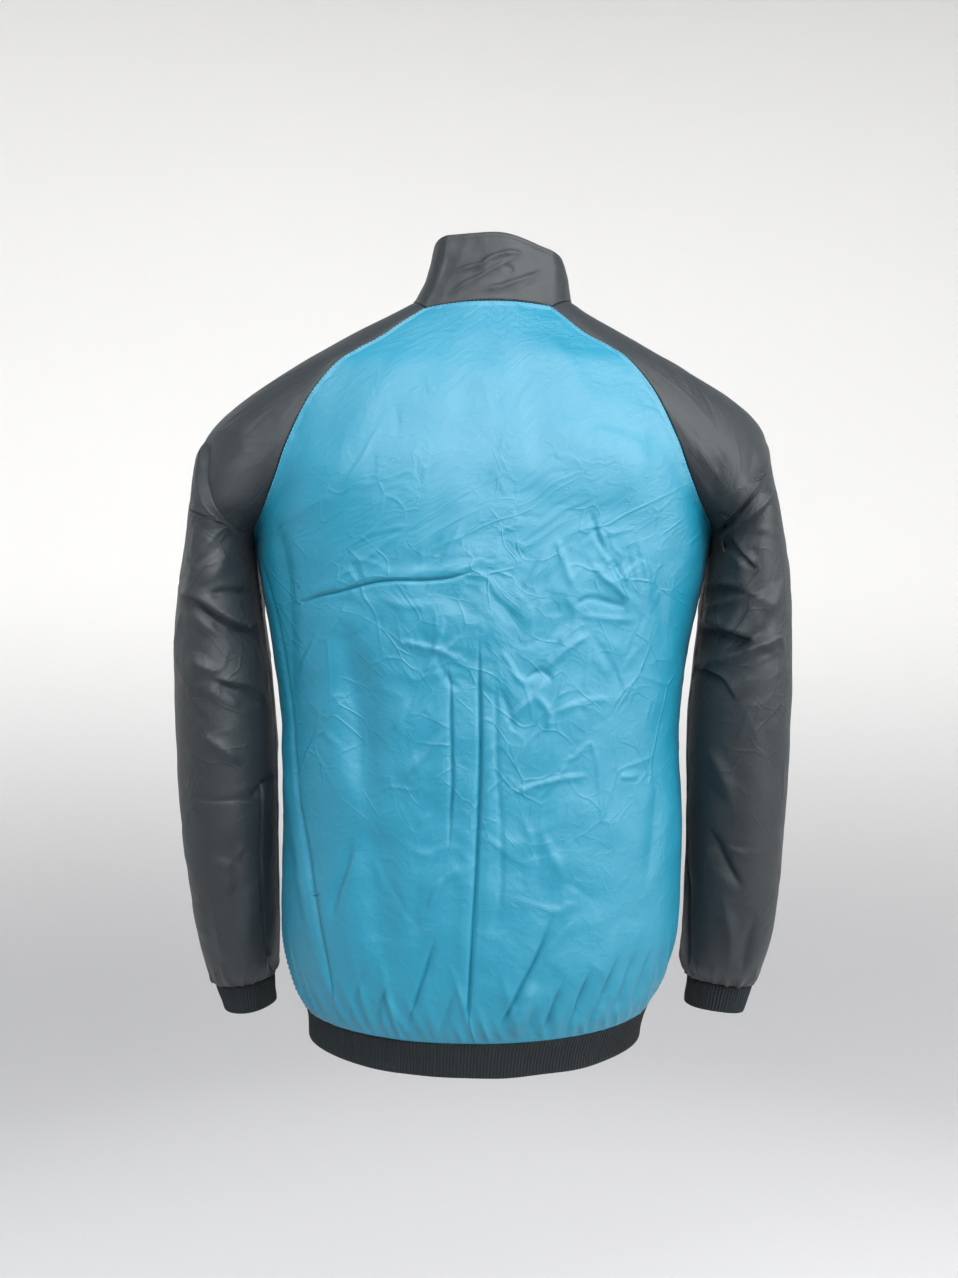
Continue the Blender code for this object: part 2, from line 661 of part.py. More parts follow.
def build():
    for thing in list(bpy.data.objects):
        bpy.data.objects.remove(thing, do_unlink=True)

    sleeve = sleeve_sheet(sleeve_levels(), SLEEVE_COLUMNS)
    back = back_sheet(BACK_COLUMNS)
    front = front_sheet(FRONT_COLUMNS)
    cuff = cuff_sheet(sleeve[0])
    sheets = {
        "back": back,
        "front_left": front,
        "front_right": mirrored(front),
        "sleeve_left": sleeve,
        "sleeve_right": mirrored(sleeve),
        "cuff_left": cuff,
        "cuff_right": mirrored(cuff),
        "hem_band": band_sheet(right_round(front[0], back[0])),
        "collar": collar_sheet(right_round(front[-1], back[-1], sleeve[-1])),
    }
    sheets = folded({name: posed(sheet) for name, sheet in sheets.items()})
    normals = wall_normals(sheets)
    sheets = parted(sheets, SEAM_GAP)
    armpit = ARMPIT_ROW * ROWS_PER_SECTION_BELOW + 1
    rings = {"sleeve_left": armpit, "sleeve_right": armpit, "cuff_left": CUFF_ROWS + 1, "cuff_right": CUFF_ROWS + 1}
    for name, sheet in sheets.items():
        slot, wall = CLOTH_PIECES[name]
        add_object(name, walled_mesh(name, sheet, normals[name], wall, rings.get(name, 0)), slot)

    tape = tape_sheet(sheets, normals)
    for name, sheet in (("zip_tape_left", tape), ("zip_tape_right", mirrored(tape))):
        facing = shared_normals({name: sheet})[name]
        add_object(name, walled_mesh(name, sheet, facing, TAPE), "zip_tape")

    face_z, face_y = tape[:, 0, 2], tape[:, 0, 1]
    middle = face_z[-1] - SLIDER_BELOW_TOP
    bar_y, bar_z = add_slider(np.interp(middle, face_z, face_y), middle)
    add_pull(bar_y, bar_z)
    print(f"The pull turns about X at y {bar_y:.5f}, z {bar_z:.5f}")
    low, high = HEM_Z + 0.0005, HEM_Z + BOX_HEIGHT
    face = np.interp([low, high], face_z, face_y).min() - SEAM_GAP
    add_object("zip_box", block_mesh("zip_box", (-0.004, face - 0.0027, low), (0.004, face, high)), "zip_metal")


build()
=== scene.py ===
"""The looks of a zip-front windbreaker with raglan sleeves: thin crumpled satin shells, rib knits, seams and zip.

Units are metres, with +Z up. The wearer faces -Y, so the back of the jacket is at +Y and the wearer's left arm
at +X. Every cloth piece is a sheet of points on the jacket's smooth form. Folds, gathers and crumples move its
points in or out, and a second, coarser layer closes it from inside.
"""

import math
from collections import namedtuple

import bmesh
import bpy
import numpy as np
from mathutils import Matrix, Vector
from mathutils.geometry import delaunay_2d_cdt


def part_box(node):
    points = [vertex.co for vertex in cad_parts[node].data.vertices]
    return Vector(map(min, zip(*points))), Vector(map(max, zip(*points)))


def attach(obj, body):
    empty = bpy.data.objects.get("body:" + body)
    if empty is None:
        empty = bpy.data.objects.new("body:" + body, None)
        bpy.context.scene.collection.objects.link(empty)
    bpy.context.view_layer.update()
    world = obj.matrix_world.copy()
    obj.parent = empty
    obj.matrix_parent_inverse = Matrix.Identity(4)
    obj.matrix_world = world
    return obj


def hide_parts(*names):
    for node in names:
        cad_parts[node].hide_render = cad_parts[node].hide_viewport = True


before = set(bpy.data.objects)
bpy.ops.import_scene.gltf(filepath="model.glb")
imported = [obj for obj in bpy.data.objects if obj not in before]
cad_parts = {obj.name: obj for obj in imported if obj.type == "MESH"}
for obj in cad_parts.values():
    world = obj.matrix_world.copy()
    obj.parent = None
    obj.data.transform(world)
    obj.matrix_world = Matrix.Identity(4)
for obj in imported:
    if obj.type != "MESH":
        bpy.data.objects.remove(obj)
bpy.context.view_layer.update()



def rows_of(kind, *rows):
    """A list of named rows of one kind."""
    return [kind(*row) for row in rows]


# ---------------------------------------------------------------- sizes

CLOTH = 0.0011  # woven shell
RIB = 0.0024  # rib knit, and the doubled cloth of the collar
SHELL_WALL = 0.0015  # the room that the shell has in front of the zip tape
SEAM_GAP = 0.0003

HEM_Z = -0.718  # lower edge of the hem band
BAND_HEIGHT = 0.032
HEM_SEAM_Z = HEM_Z + BAND_HEIGHT
CUFF_HEIGHT = 0.030
COLLAR_HEIGHT = 0.070
COLLAR_SLUMP = 0.021  # how far the collar's right side has sunk
RIB_PITCH = 0.0032
RIB_DEPTH = 0.0013
RIB_POINTS = 6  # columns of points to a rib
RIB_ROWS = 13

ZIP_EDGE = 0.005  # from the centre line to the front edge of the cloth
PLACKET = 0.010  # width of the stitched-down strip beside the zip
TAPE = 0.0008
TAPE_INNER = 0.0012
TOOTH_PITCH = 0.0025

# How far each row of stitches runs from its seam or edge
STITCH_SEAM = 0.0019
STITCH_ZIP = 0.0014
STITCH_PLACKET = 0.0078
STITCH_NECK = 0.0020
STITCH_COLLAR_TOP = 0.0040

PITCH = 0.00225  # between the points of a sheet
FLOOR_Z = -1.45  # of the studio
EDGE = (0.0, 0.0007, 0.0015, 0.0026)  # the closer points beside a seam
COARSER = 3  # the inside layer has one point for so many of the outside one

# ---------------------------------------------------------------- the jacket's form

# Left sleeve, from the cuff seam up to the neck. Each section is an ellipse in a plane that holds the Y
# direction. ridge is its outermost point, seam its innermost one: the underarm line below the armpit, the
# raglan seam above it. opening is the angle from the ridge to the seam, so 180 degrees is a closed ring.
# turn is how far the body panel's edge turns towards the side there. dip lowers the front seam.
SleeveSection = namedtuple(
    "SleeveSection", "ridge_x ridge_z seam_x seam_z opening y_mid depth turn dip"
)
SLEEVE = rows_of(
    SleeveSection,
    # ridge_x ridge_z seam_x seam_z opening y_mid depth turn dip
    (0.2755, -0.6720, 0.2125, -0.6640, 180, -0.034, 0.032, 90, 0.000),  # cuff seam
    (0.2825, -0.6520, 0.2075, -0.6440, 180, -0.030, 0.047, 90, 0.000),
    (0.2910, -0.6150, 0.2060, -0.6100, 180, -0.024, 0.056, 90, 0.000),
    (0.2970, -0.5550, 0.2060, -0.5520, 180, -0.014, 0.062, 90, 0.000),
    (0.3019, -0.4820, 0.2055, -0.4820, 180, -0.004, 0.068, 90, 0.000),  # elbow
    (0.3032, -0.4000, 0.2065, -0.4060, 180, 0.002, 0.075, 90, 0.000),
    (0.3040, -0.3300, 0.2125, -0.3420, 180, 0.004, 0.080, 90, 0.000),
    (0.2992, -0.2620, 0.2195, -0.2850, 180, 0.005, 0.084, 90, 0.000),
    (0.2890, -0.2020, 0.2255, -0.2300, 180, 0.006, 0.086, 90, 0.000),  # armpit
    (0.2850, -0.1830, 0.2212, -0.2135, 162, 0.006, 0.087, 82, 0.002),
    (0.2825, -0.1680, 0.2118, -0.2020, 147, 0.006, 0.087, 72, 0.004),
    (0.2812, -0.1530, 0.2040, -0.1900, 134, 0.005, 0.087, 60, 0.006),
    (0.2795, -0.1350, 0.1915, -0.1640, 114, 0.005, 0.086, 42, 0.010),
    (0.2680, -0.1100, 0.1810, -0.1360, 98, 0.004, 0.085, 27, 0.014),
    (0.2370, -0.0830, 0.1610, -0.0930, 83, 0.003, 0.083, 17, 0.020),  # point of the shoulder
    (0.1860, -0.0510, 0.1395, -0.0635, 77, 0.003, 0.078, 14, 0.026),
    (0.1573, -0.0345, 0.1215, -0.0485, 75, 0.002, 0.072, 13, 0.030),
    (0.1319, -0.0195, 0.0970, -0.0330, 75, 0.001, 0.066, 12, 0.034),
    (0.1040, -0.0045, 0.0790, -0.0180, 77, 0.000, 0.060, 11, 0.038),
    (0.0790, 0.0115, 0.0600, -0.0030, 80, -0.001, 0.053, 10, 0.041),  # neck seam
)
ARMPIT_ROW = 8
NECK_ROW = len(SLEEVE) - 1

# Half width of the body at the side seam, and the y of that seam
BodySide = namedtuple("BodySide", "z half_width y")
BODY_SIDE = rows_of(
    BodySide,
    (HEM_SEAM_Z, 0.1720, 0.000),
    (-0.6720, 0.1785, 0.000),
    (-0.6480, 0.1880, 0.000),
    (-0.6180, 0.1950, 0.000),
    (-0.5700, 0.1980, 0.000),
    (-0.4800, 0.1970, 0.002),
    (-0.3910, 0.1970, 0.004),
    (-0.3310, 0.2050, 0.005),
    (-0.2810, 0.2150, 0.006),
    (-0.2300, 0.2255, 0.006),
)
HEM_RISE = 0.016  # how much higher the hem is at the sides than at its middle

# The centre line of the back and of the front
Profile = namedtuple("Profile", "z y")
BACK_LINE = rows_of(
    Profile,
    (HEM_SEAM_Z, 0.1150),
    (-0.6700, 0.1210),
    (-0.6480, 0.1255),
    (-0.6150, 0.1280),
    (-0.5000, 0.1255),
    (-0.3800, 0.1265),
    (-0.2800, 0.1280),
    (-0.2000, 0.1245),
    (-0.1355, 0.1150),
    (-0.0960, 0.1045),
    (-0.0670, 0.0940),
    (-0.0355, 0.0790),
    (0.0000, 0.0600),
)
FRONT_LINE = rows_of(
    Profile,
    (HEM_SEAM_Z, -0.1180),
    (-0.6700, -0.1240),
    (-0.6480, -0.1290),
    (-0.6150, -0.1320),
    (-0.5000, -0.1350),
    (-0.3800, -0.1400),
    (-0.2800, -0.1430),
    (-0.2100, -0.1380),
    (-0.1500, -0.1240),
    (-0.1100, -0.1060),
    (-0.0860, -0.0900),
    (-0.0630, -0.0740),
)
BACK_RISE = 0.0045  # the back neck seam at the centre, above the end of the raglan seam
FRONT_DROP = 0.0170  # the front neck seam at the zip, below the end of the raglan seam

# How the wearer stands: the sideways shift of the body, and of the arms, at each height
Stance = namedtuple("Stance", "z body arms")
STANCE = rows_of(
    Stance,
    (HEM_Z, 0.0080, -0.0035),
    (-0.660, 0.0040, -0.0035),
    (-0.600, 0.0015, -0.0030),
    (-0.500, 0.0000, -0.0015),
    (-0.400, 0.0010, -0.0010),
    (-0.300, 0.0010, -0.0015),
    (-0.200, 0.0000, -0.0020),
    (-0.100, 0.0000, -0.0030),
    (-0.050, -0.0010, -0.0030),
    (-0.020, -0.0030, -0.0030),
    (0.000, -0.0070, -0.0070),
    (0.030, -0.0145, -0.0145),
    (0.070, -0.0175, -0.0175),
)
SHOULDER_TILT = 0.012  # the left shoulder hangs lower: fall for each metre towards it

# The stand collar's top edge, from the zip (place 0) to the centre of the back (place 1)
CollarTop = namedtuple("CollarTop", "place z")
COLLAR = rows_of(
    CollarTop,
    (0.00, -0.003),
    (0.20, 0.011),
    (0.40, 0.036),
    (0.60, 0.060),
    (0.80, 0.068),
    (1.00, 0.069),
)

# The way the forearm points, and how much the cuff narrows along it
FOREARM = (-0.13, -0.16, -1.0)
CUFF_NARROWING = 0.10

# ---------------------------------------------------------------- creases

# Each crease is a line in x and z, in millimetres, on one face of one piece: side is 1 on the back of the jacket
# and -1 on its front. height is out of the cloth, negative for a trough. left and right are its half widths to
# either side of the line, as seen from the side it is on. sharp is 1 for a knife edge, 0 for a soft roll, LAPPED
# where the left side stands above the right one and HUNG where it hangs over it in a thicker fold. reach is the
# share of the line at each end over which it fades. The rows are listed by their piece and side.
Crease = namedtuple("Crease", "piece side line height left right sharp reach")
LAPPED, HUNG = 2, 3
SHARPEST = 2.5  # a knife edge at least this deep has rows or columns of points drawn to it
CREASE_ROWS = {
    ("back", 1): [
        # the long crisp crease across the left shoulder blade, with a lip above it
        (
            ((178, -290), (152, -281), (128, -276), (104, -270), (82, -267), (55, -267), (29, -265), (4, -259)),
            -2.5, 1.1, 2.6, 1.0, 0.20
        ),
        (((170, -279), (128, -269), (82, -261), (29, -259), (2, -252)), 1.2, 6, 12, 0.3, 0.20),
        # sharp folds that hang down the middle
        (((32, -340), (28, -365), (27, -399), (26, -450), (28, -480), (30, -512)), -2.6, 1.3, 2.6, 1.0, 0.30),
        (((38, -360), (36, -410), (36, -490)), 0.8, 8, 9, 0.2, 0.35),
        (
            ((3, -320), (1, -380), (1, -439), (4, -517), (8, -589), (11, -640), (12, -662), (7, -684)), -3.4,
            1.3, 3.0, 1.0, 0.16
        ),
        (((12, -420), (14, -520), (18, -600), (21, -655)), 1.1, 9, 8, 0.2, 0.3),
        (((-11, -339), (-13, -442), (-16, -482), (-16, -540), (-12, -600)), -1.3, 4, 2, 0.9, 0.25),
        (((-5, -350), (-6, -440), (-5, -530), (-2, -620)), 0.9, 6, 6, 0.2, 0.3),
        (((4, -300), (4, -345), (2, -400)), -1.2, 22, 22, 0.0, 0.4),
        # the long line that runs down from the left armpit, almost a seam
        (
            ((216, -236), (206, -265), (198, -293), (189, -338), (181, -388), (178, -418), (170, -478)), -2.4,
            2.0, 3.6, 1.0, 0.10
        ),
        (((176, -440), (170, -478), (157, -547), (144, -614), (132, -674)), -2.6, 2.4, 3.6, 1.0, 0.30),
        (((206, -330), (196, -400), (182, -480), (168, -552), (154, -622)), 2.0, 10, 8, 0.2, 0.3),
        (((197, -199), (184, -248), (179, -352), (178, -393)), -2.2, 9, 14, 0.3, 0.3),
        (((116, -500), (124, -530), (132, -552), (138, -584)), -2.5, 2.5, 8, 0.95, 0.3),
        (((111, -512), (120, -548), (131, -588)), 1.0, 8, 7, 0.3, 0.3),
        # crumples right of the middle
        (((-66, -224), (-52, -250), (-38, -278), (-22, -306)), 1.3, 8.5, 4, 1.0, 0.3),
        (((-66, -226), (-74, -250), (-83, -278)), 1.2, 4, 7, 1.0, 0.3),
        (((-60, -262), (-48, -290), (-40, -310)), -0.8, 4, 5.5, 0.9, 0.3),
        (((-104, -214), (-114, -245), (-124, -270), (-136, -298)), 1.5, 3.5, 6, 1.0, 0.2),
        (((-97, -204), (-104, -228), (-115, -247), (-128, -272), (-134, -290)), -1.9, 5.5, 2.5, 1.0, 0.2),
        (((-98, -250), (-106, -262), (-118, -272), (-134, -286)), 1.4, 5, 2.5, 1.0, 0.2),
        (((-82, -290), (-96, -283), (-112, -286), (-130, -291)), -1.4, 2.5, 5.5, 1.0, 0.2),
        (((-86, -298), (-104, -300), (-128, -302), (-144, -301)), 1, 3, 5, 1.0, 0.25),
        (((-130, -230), (-136, -262), (-144, -296)), -1.1, 3.5, 5, 0.9, 0.3),
        (((-140, -222), (-150, -262), (-152, -292)), 1.1, 4, 3.5, 0.8, 0.3),
        (((-158, -240), (-166, -290), (-170, -330)), -1.4, 8, 10, 0.5, 0.4),
        (((-16, -328), (-25, -342), (-36, -358), (-50, -352)), 1.4, 3.5, 6, 1.0, 0.2),
        (((-38, -361), (-48, -350), (-56, -350), (-64, -358)), -1.6, 2.5, 4, 1.0, 0.2),
        (((-58, -349), (-66, -338), (-80, -326), (-98, -315)), 1.3, 4, 5.5, 1.0, 0.2),
        (((-72, -318), (-64, -332), (-60, -346)), -1, 3.5, 3.5, 1.0, 0.3),
        (((-21, -398), (-34, -382), (-48, -370), (-58, -352)), 1.3, 3, 6, 1.0, 0.2),
        (((-47, -369), (-55, -378), (-61, -389), (-58, -404)), 1.3, 3.5, 5, 1.0, 0.2),
        (((-60, -389), (-76, -381), (-97, -375), (-122, -374)), 1, 3, 6, 1.0, 0.3),
        (((-98, -316), (-110, -332), (-124, -356), (-130, -380)), -1.1, 3, 5, 0.9, 0.3),
        (((-14, -360), (-24, -386), (-30, -408)), -1.3, 3.5, 3, 0.8, 0.3),
        (((-27, -458), (-46, -451), (-66, -446), (-82, -444), (-99, -444)), 1.4, 2.5, 5, 1.0, 0.2),
        (((-54, -462), (-66, -446), (-78, -429)), 1.3, 2.5, 3.5, 1.0, 0.25),
        (((-72, -430), (-84, -426), (-96, -414), (-102, -420)), 1, 2.5, 3, 1.0, 0.25),
        (((-96, -408), (-104, -430), (-107, -460), (-110, -495)), 1.1, 3, 3.5, 0.9, 0.3),
        (((-124, -444), (-134, -446), (-146, -446)), 1.4, 2.5, 3.5, 1.0, 0.3),
        (((-52, -490), (-62, -512), (-76, -540)), 1.0, 6, 8, 0.7, 0.4),
        # crumples left of the middle
        (((78, -321), (60, -325), (38, -330), (24, -337), (11, -344)), 1.4, 3, 5.5, 1.0, 0.2),
        (((34, -298), (38, -318), (44, -336), (52, -356)), 1.1, 3.5, 5, 1.0, 0.25),
        (((14, -316), (26, -324), (42, -342), (56, -352)), 1, 3.5, 3, 1.0, 0.25),
        (((38, -340), (30, -356), (18, -368)), -1.1, 3, 5, 0.9, 0.3),
        (((66, -374), (72, -388), (80, -404)), 1, 3.5, 5.5, 0.9, 0.3),
        (((30, -402), (46, -420), (60, -436), (70, -447)), 1.4, 3, 5.5, 1.0, 0.25),
        (((38, -392), (52, -414), (66, -430)), -1.0, 7, 6, 0.6, 0.3),
        (((44, -474), (52, -482), (60, -490)), 1, 2.5, 4, 0.9, 0.4),
        (((34, -530), (42, -545), (50, -562)), 1.3, 3.5, 4, 0.9, 0.4),
        (((42, -538), (48, -552), (53, -568)), -0.8, 3, 3, 0.8, 0.4),
        (((170, -352), (162, -336), (150, -314)), 1.2, 3, 4, 0.9, 0.3),
        (((150, -402), (140, -410), (130, -420)), 0.8, 3.5, 5, 0.8, 0.4),
        (((128, -296), (119, -360), (110, -430), (100, -490)), -8.5, 26, 17, 0.0, 0.4),
        (((104, -460), (96, -540), (84, -640)), -4.5, 24, 18, 0.0, 0.4),
        (((126, -240), (108, -229), (88, -216)), 0.8, 3, 4, 0.9, 0.3),
        (((110, -252), (96, -242), (78, -228), (60, -222)), 0.8, 3, 4, 0.8, 0.3),
        (((38, -256), (28, -236), (17, -214)), 0.8, 3.5, 3.5, 0.9, 0.3),
        (((60, -262), (44, -240), (34, -222)), -0.8, 6, 6, 0.7, 0.3),
        (((138, -268), (124, -260), (112, -256)), 0.9, 3, 3.5, 0.9, 0.3),
        (((120, -246), (112, -262), (104, -270)), -0.8, 3, 3.5, 0.9, 0.3),
        (((180, -212), (150, -196), (124, -190)), 0.8, 8, 10, 0.4, 0.4),
        (((100, -278), (78, -288), (56, -290), (36, -288)), 0.8, 3, 5, 0.8, 0.4),
        # soft streaks that fan out from the neck and the raglan seams
        (((-56, -30), (-80, -66), (-104, -106)), 1.2, 12, 16, 0.3, 0.4),
        (((-30, -40), (-46, -110), (-52, -170)), -1.0, 16, 18, 0.0, 0.4),
        (((60, -36), (92, -90), (120, -150)), 1.0, 16, 16, 0.1, 0.4),
        (((-150, -120), (-140, -170), (-136, -214)), 1.2, 10, 14, 0.0, 0.4),
        (((14, -60), (10, -140), (6, -220)), -0.9, 20, 20, 0.0, 0.4),
        # folds that run up from the hem
        (((71, -676), (63, -654), (52, -618), (42, -584)), -2.9, 1.8, 7, 1.0, 0.35),
        (((64, -664), (57, -644), (48, -620)), 1.6, 5, 6, 0.4, 0.3),
        (((97, -672), (93, -652), (86, -628)), -2.4, 2.0, 6, 1.0, 0.35),
        (((122, -664), (117, -646), (108, -618)), -1.8, 4, 7, 0.8, 0.3),
        (((40, -681), (34, -660), (25, -632)), -2.2, 2.0, 5, 1.0, 0.4),
        (((-13, -684), (-20, -662), (-36, -630), (-52, -598), (-62, -566)), -3.6, 2.0, 9, 1.0, 0.35),
        (((-24, -682), (-34, -656), (-48, -624)), 2.0, 6, 7, 0.4, 0.3),
        (((-36, -682), (-43, -664), (-50, -646)), -2.2, 3, 5, 0.9, 0.3),
        (((-54, -682), (-62, -656), (-72, -628)), -2.8, 2.0, 7, 1.0, 0.35),
        (((-76, -680), (-86, -650), (-98, -618)), -2.9, 2.0, 7, 1.0, 0.35),
        (((-96, -674), (-108, -646), (-124, -608)), -2.9, 2.0, 8, 1.0, 0.35),
        (((-118, -668), (-130, -640), (-142, -606)), -2.4, 3, 7, 0.9, 0.3),
        (((-140, -660), (-148, -636), (-158, -606)), -2.2, 3, 7, 0.9, 0.3),
        (((-104, -640), (-114, -612), (-122, -580)), 1.6, 8, 8, 0.3, 0.4),
        (((56, -606), (60, -570), (56, -530)), -1.5, 9, 12, 0.2, 0.4),
        (((-52, -584), (-60, -552), (-66, -520)), -1.4, 14, 12, 0.1, 0.4),
        (((-150, -560), (-160, -500), (-164, -440)), -1.6, 9, 10, 0.4, 0.4),
    ],
    ("sleeve_left", 1): [
        # the step below the shoulder, where the upper arm's cloth hangs over, and the elbow
        (
            ((266, -128), (263, -150), (261, -172), (252, -195), (240, -210), (228, -222)), -4.2, 12, 9, HUNG,
            0.15
        ),
        (((273, -132), (271, -172), (262, -200), (246, -220)), 1.8, 6, 10, 0.3, 0.3),
        (
            ((288, -276), (270, -282), (251, -295), (236, -305), (224, -310), (216, -302)), 5.4, 13, 13, HUNG,
            0.2
        ),
        (((286, -288), (262, -302), (240, -318)), 3, 6, 10, 0.4, 0.3),
        (((256, -279), (236, -276), (216, -274)), -3, 5, 8, 0.7, 0.3),
        (((250, -357), (236, -363), (222, -368), (211, -386)), 3.0, 9, 10, HUNG, 0.25),
        (((256, -366), (240, -374), (226, -384)), 2.1, 6, 9, 0.4, 0.3),
        (((222, -473), (214, -463), (206, -452)), -3, 3, 6, 0.9, 0.3),
        (((284, -468), (262, -471), (240, -472), (216, -474)), -1.0, 1.8, 4, 1.0, 0.3),
        (((276, -330), (262, -344), (240, -352)), 2.8, 8, 11, 0.6, 0.4),
        (((262, -410), (246, -420), (226, -440)), 2.8, 7, 10, 0.7, 0.4),
        (((288, -420), (284, -480), (276, -540)), -1.8, 14, 12, 0.1, 0.4),
        (((240, -500), (236, -560), (238, -620)), -3.0, 12, 10, 0.2, 0.4),
        (((262, -560), (254, -610), (252, -650)), 3.0, 8, 9, 0.6, 0.4),
        (((236, -232), (246, -256), (262, -272)), 2.2, 8, 10, 0.5, 0.4),
        (((214, -150), (226, -126), (228, -104)), 1.5, 12, 14, 0.1, 0.4),
        (((212, -455), (214, -500), (216, -560), (215, -620), (213, -664)), -2.5, 0.8, 1.1, 1.0, 0.08),
    ],
    ("sleeve_right", 1): [
        # two sharp folds that cross the upper arm, the crumpled elbow and its shadowed pocket
        (
            ((-211, -240), (-226, -231), (-240, -219), (-257, -203), (-266, -192), (-273, -178)), 3.4, 8, 10,
            HUNG, 0.15
        ),
        (((-222, -218), (-236, -203), (-247, -189), (-258, -174), (-268, -158)), 3.2, 5, 6, LAPPED, 0.2),
        (((-244, -180), (-251, -158), (-258, -136)), -2.4, 9, 10, 0.3, 0.4),
        (((-212, -189), (-217, -168), (-224, -146)), -2.1, 9, 9, 0.3, 0.4),
        (((-234, -222), (-242, -238), (-254, -256)), 3.4, 5, 7, LAPPED, 0.25),
        (((-232, -232), (-240, -246), (-246, -258)), 1.8, 5, 7, 1.0, 0.3),
        (((-206, -262), (-220, -269), (-238, -273), (-254, -282)), 3.4, 8, 9, HUNG, 0.25),
        (((-216, -292), (-234, -283), (-255, -278)), 3.3, 6, 8, 0.8, 0.3),
        (((-198, -332), (-212, -346), (-228, -358), (-240, -380)), 3.4, 12, 12, LAPPED, 0.3),
        (((-197, -292), (-208, -300), (-220, -308), (-236, -316), (-252, -322)), 7.0, 12, 12, HUNG, 0.2),
        (((-214, -345), (-234, -336), (-257, -326), (-274, -318), (-288, -309)), 4.6, 7, 12, 0.7, 0.25),
        (((-226, -330), (-246, -322), (-268, -306)), -2.4, 7, 7, 0.5, 0.3),
        (((-262, -303), (-272, -284), (-281, -264)), 2.7, 8, 9, 0.5, 0.4),
        (((-197, -330), (-198, -350), (-199, -372)), -3.5, 12, 9, 0.2, 0.4),
        (((-218, -500), (-232, -532), (-252, -562)), -4.0, 6, 10, 0.9, 0.35),
        (((-214, -420), (-228, -446), (-238, -480)), 3.0, 8, 9, 0.6, 0.4),
        (((-262, -380), (-272, -430), (-276, -480)), -2, 12, 12, 0.1, 0.4),
        (((-232, -566), (-242, -606), (-243, -650)), 3.0, 8, 9, 0.6, 0.4),
        (((-264, -586), (-260, -622), (-255, -655)), -3.6, 6, 9, 0.6, 0.4),
        (((-203, -410), (-204, -460), (-206, -540), (-208, -600), (-210, -655)), -2.5, 1.1, 0.8, 1.0, 0.08),
    ],
    ("front_left", -1): [
        # the fronts, folded the way such a jacket folds below the bust and at the waist
        (((190, -262), (160, -290), (120, -312), (80, -322)), -2.4, 8, 12, 0.6, 0.3),
        (((176, -300), (150, -340), (132, -400)), 1.8, 8, 10, 0.5, 0.3),
        (((60, -200), (74, -260), (78, -330)), -1.6, 9, 12, 0.4, 0.4),
        (((150, -420), (132, -500), (112, -600), (104, -676)), -3.2, 6, 10, 0.8, 0.25),
        (((90, -430), (78, -520), (70, -600), (66, -676)), -2.4, 7, 9, 0.5, 0.3),
        (((44, -520), (40, -600), (44, -678)), -2.2, 7, 8, 0.6, 0.3),
        (((118, -360), (92, -380), (66, -384)), 1.3, 6, 9, 0.9, 0.3),
        (((130, -160), (120, -190), (98, -214)), 1.2, 8, 10, 0.5, 0.4),
    ],
    ("front_right", -1): [
        (((-186, -258), (-150, -282), (-112, -296)), -2.4, 12, 8, 0.6, 0.3),
        (((-168, -320), (-150, -370), (-140, -440)), 1.8, 9, 9, 0.5, 0.3),
        (((-54, -180), (-66, -240), (-62, -320)), -1.5, 12, 9, 0.4, 0.4),
        (((-140, -460), (-126, -540), (-118, -610), (-112, -676)), -3.0, 10, 6, 0.8, 0.25),
        (((-84, -470), (-80, -560), (-76, -676)), -2.4, 8, 8, 0.5, 0.3),
        (((-40, -560), (-38, -620), (-44, -678)), -2.0, 7, 7, 0.6, 0.3),
        (((-104, -400), (-84, -412), (-58, -408)), 1.3, 6, 9, 0.9, 0.3),
        (((-120, -340), (-100, -352), (-78, -348)), 1.2, 6, 7, 0.9, 0.3),
    ],
    ("sleeve_left", -1): [
        # the sleeves' front faces
        (((282, -240), (262, -252), (238, -262), (222, -280)), -2.6, 8, 10, 0.7, 0.3),
        (((294, -330), (268, -350), (244, -356)), -2.6, 8, 9, 0.8, 0.3),
        (((290, -400), (262, -412), (234, -430)), 2.0, 8, 10, 0.5, 0.3),
        (((278, -470), (256, -520), (248, -580)), -1.8, 9, 9, 0.4, 0.4),
    ],
    ("sleeve_right", -1): [
        (((-280, -250), (-256, -262), (-230, -268)), -2.6, 10, 8, 0.7, 0.3),
        (((-294, -340), (-272, -352), (-246, -372)), -2.4, 9, 8, 0.8, 0.3),
        (((-288, -410), (-258, -430), (-228, -440)), 2.0, 10, 8, 0.5, 0.3),
        (((-272, -480), (-258, -540), (-250, -600)), -1.8, 9, 9, 0.4, 0.4),
    ],
    ("collar", 1): [
        # slack cloth pulled across the back of the neck
        (((30, 30), (14, 35), (0, 38), (-9, 44), (-27, 49), (-44, 48)), 1.8, 4, 7, 1.0, 0.25),
        (((35, 9), (5, 24), (-20, 38), (-38, 48)), 1.5, 4, 8, 1.0, 0.3),
        (((6, 11), (-18, 16), (-40, 24), (-62, 35)), 1.6, 4, 8, 1.0, 0.3),
        (((-18, 34), (-24, 34), (-32, 32)), -0.9, 4, 4, 0.8, 0.3),
        (((44, 20), (36, 34), (30, 52)), -1.0, 6, 8, 0.4, 0.4),
    ],
}
CREASES = [Crease(*face, *row) for face, rows in CREASE_ROWS.items() for row in rows]

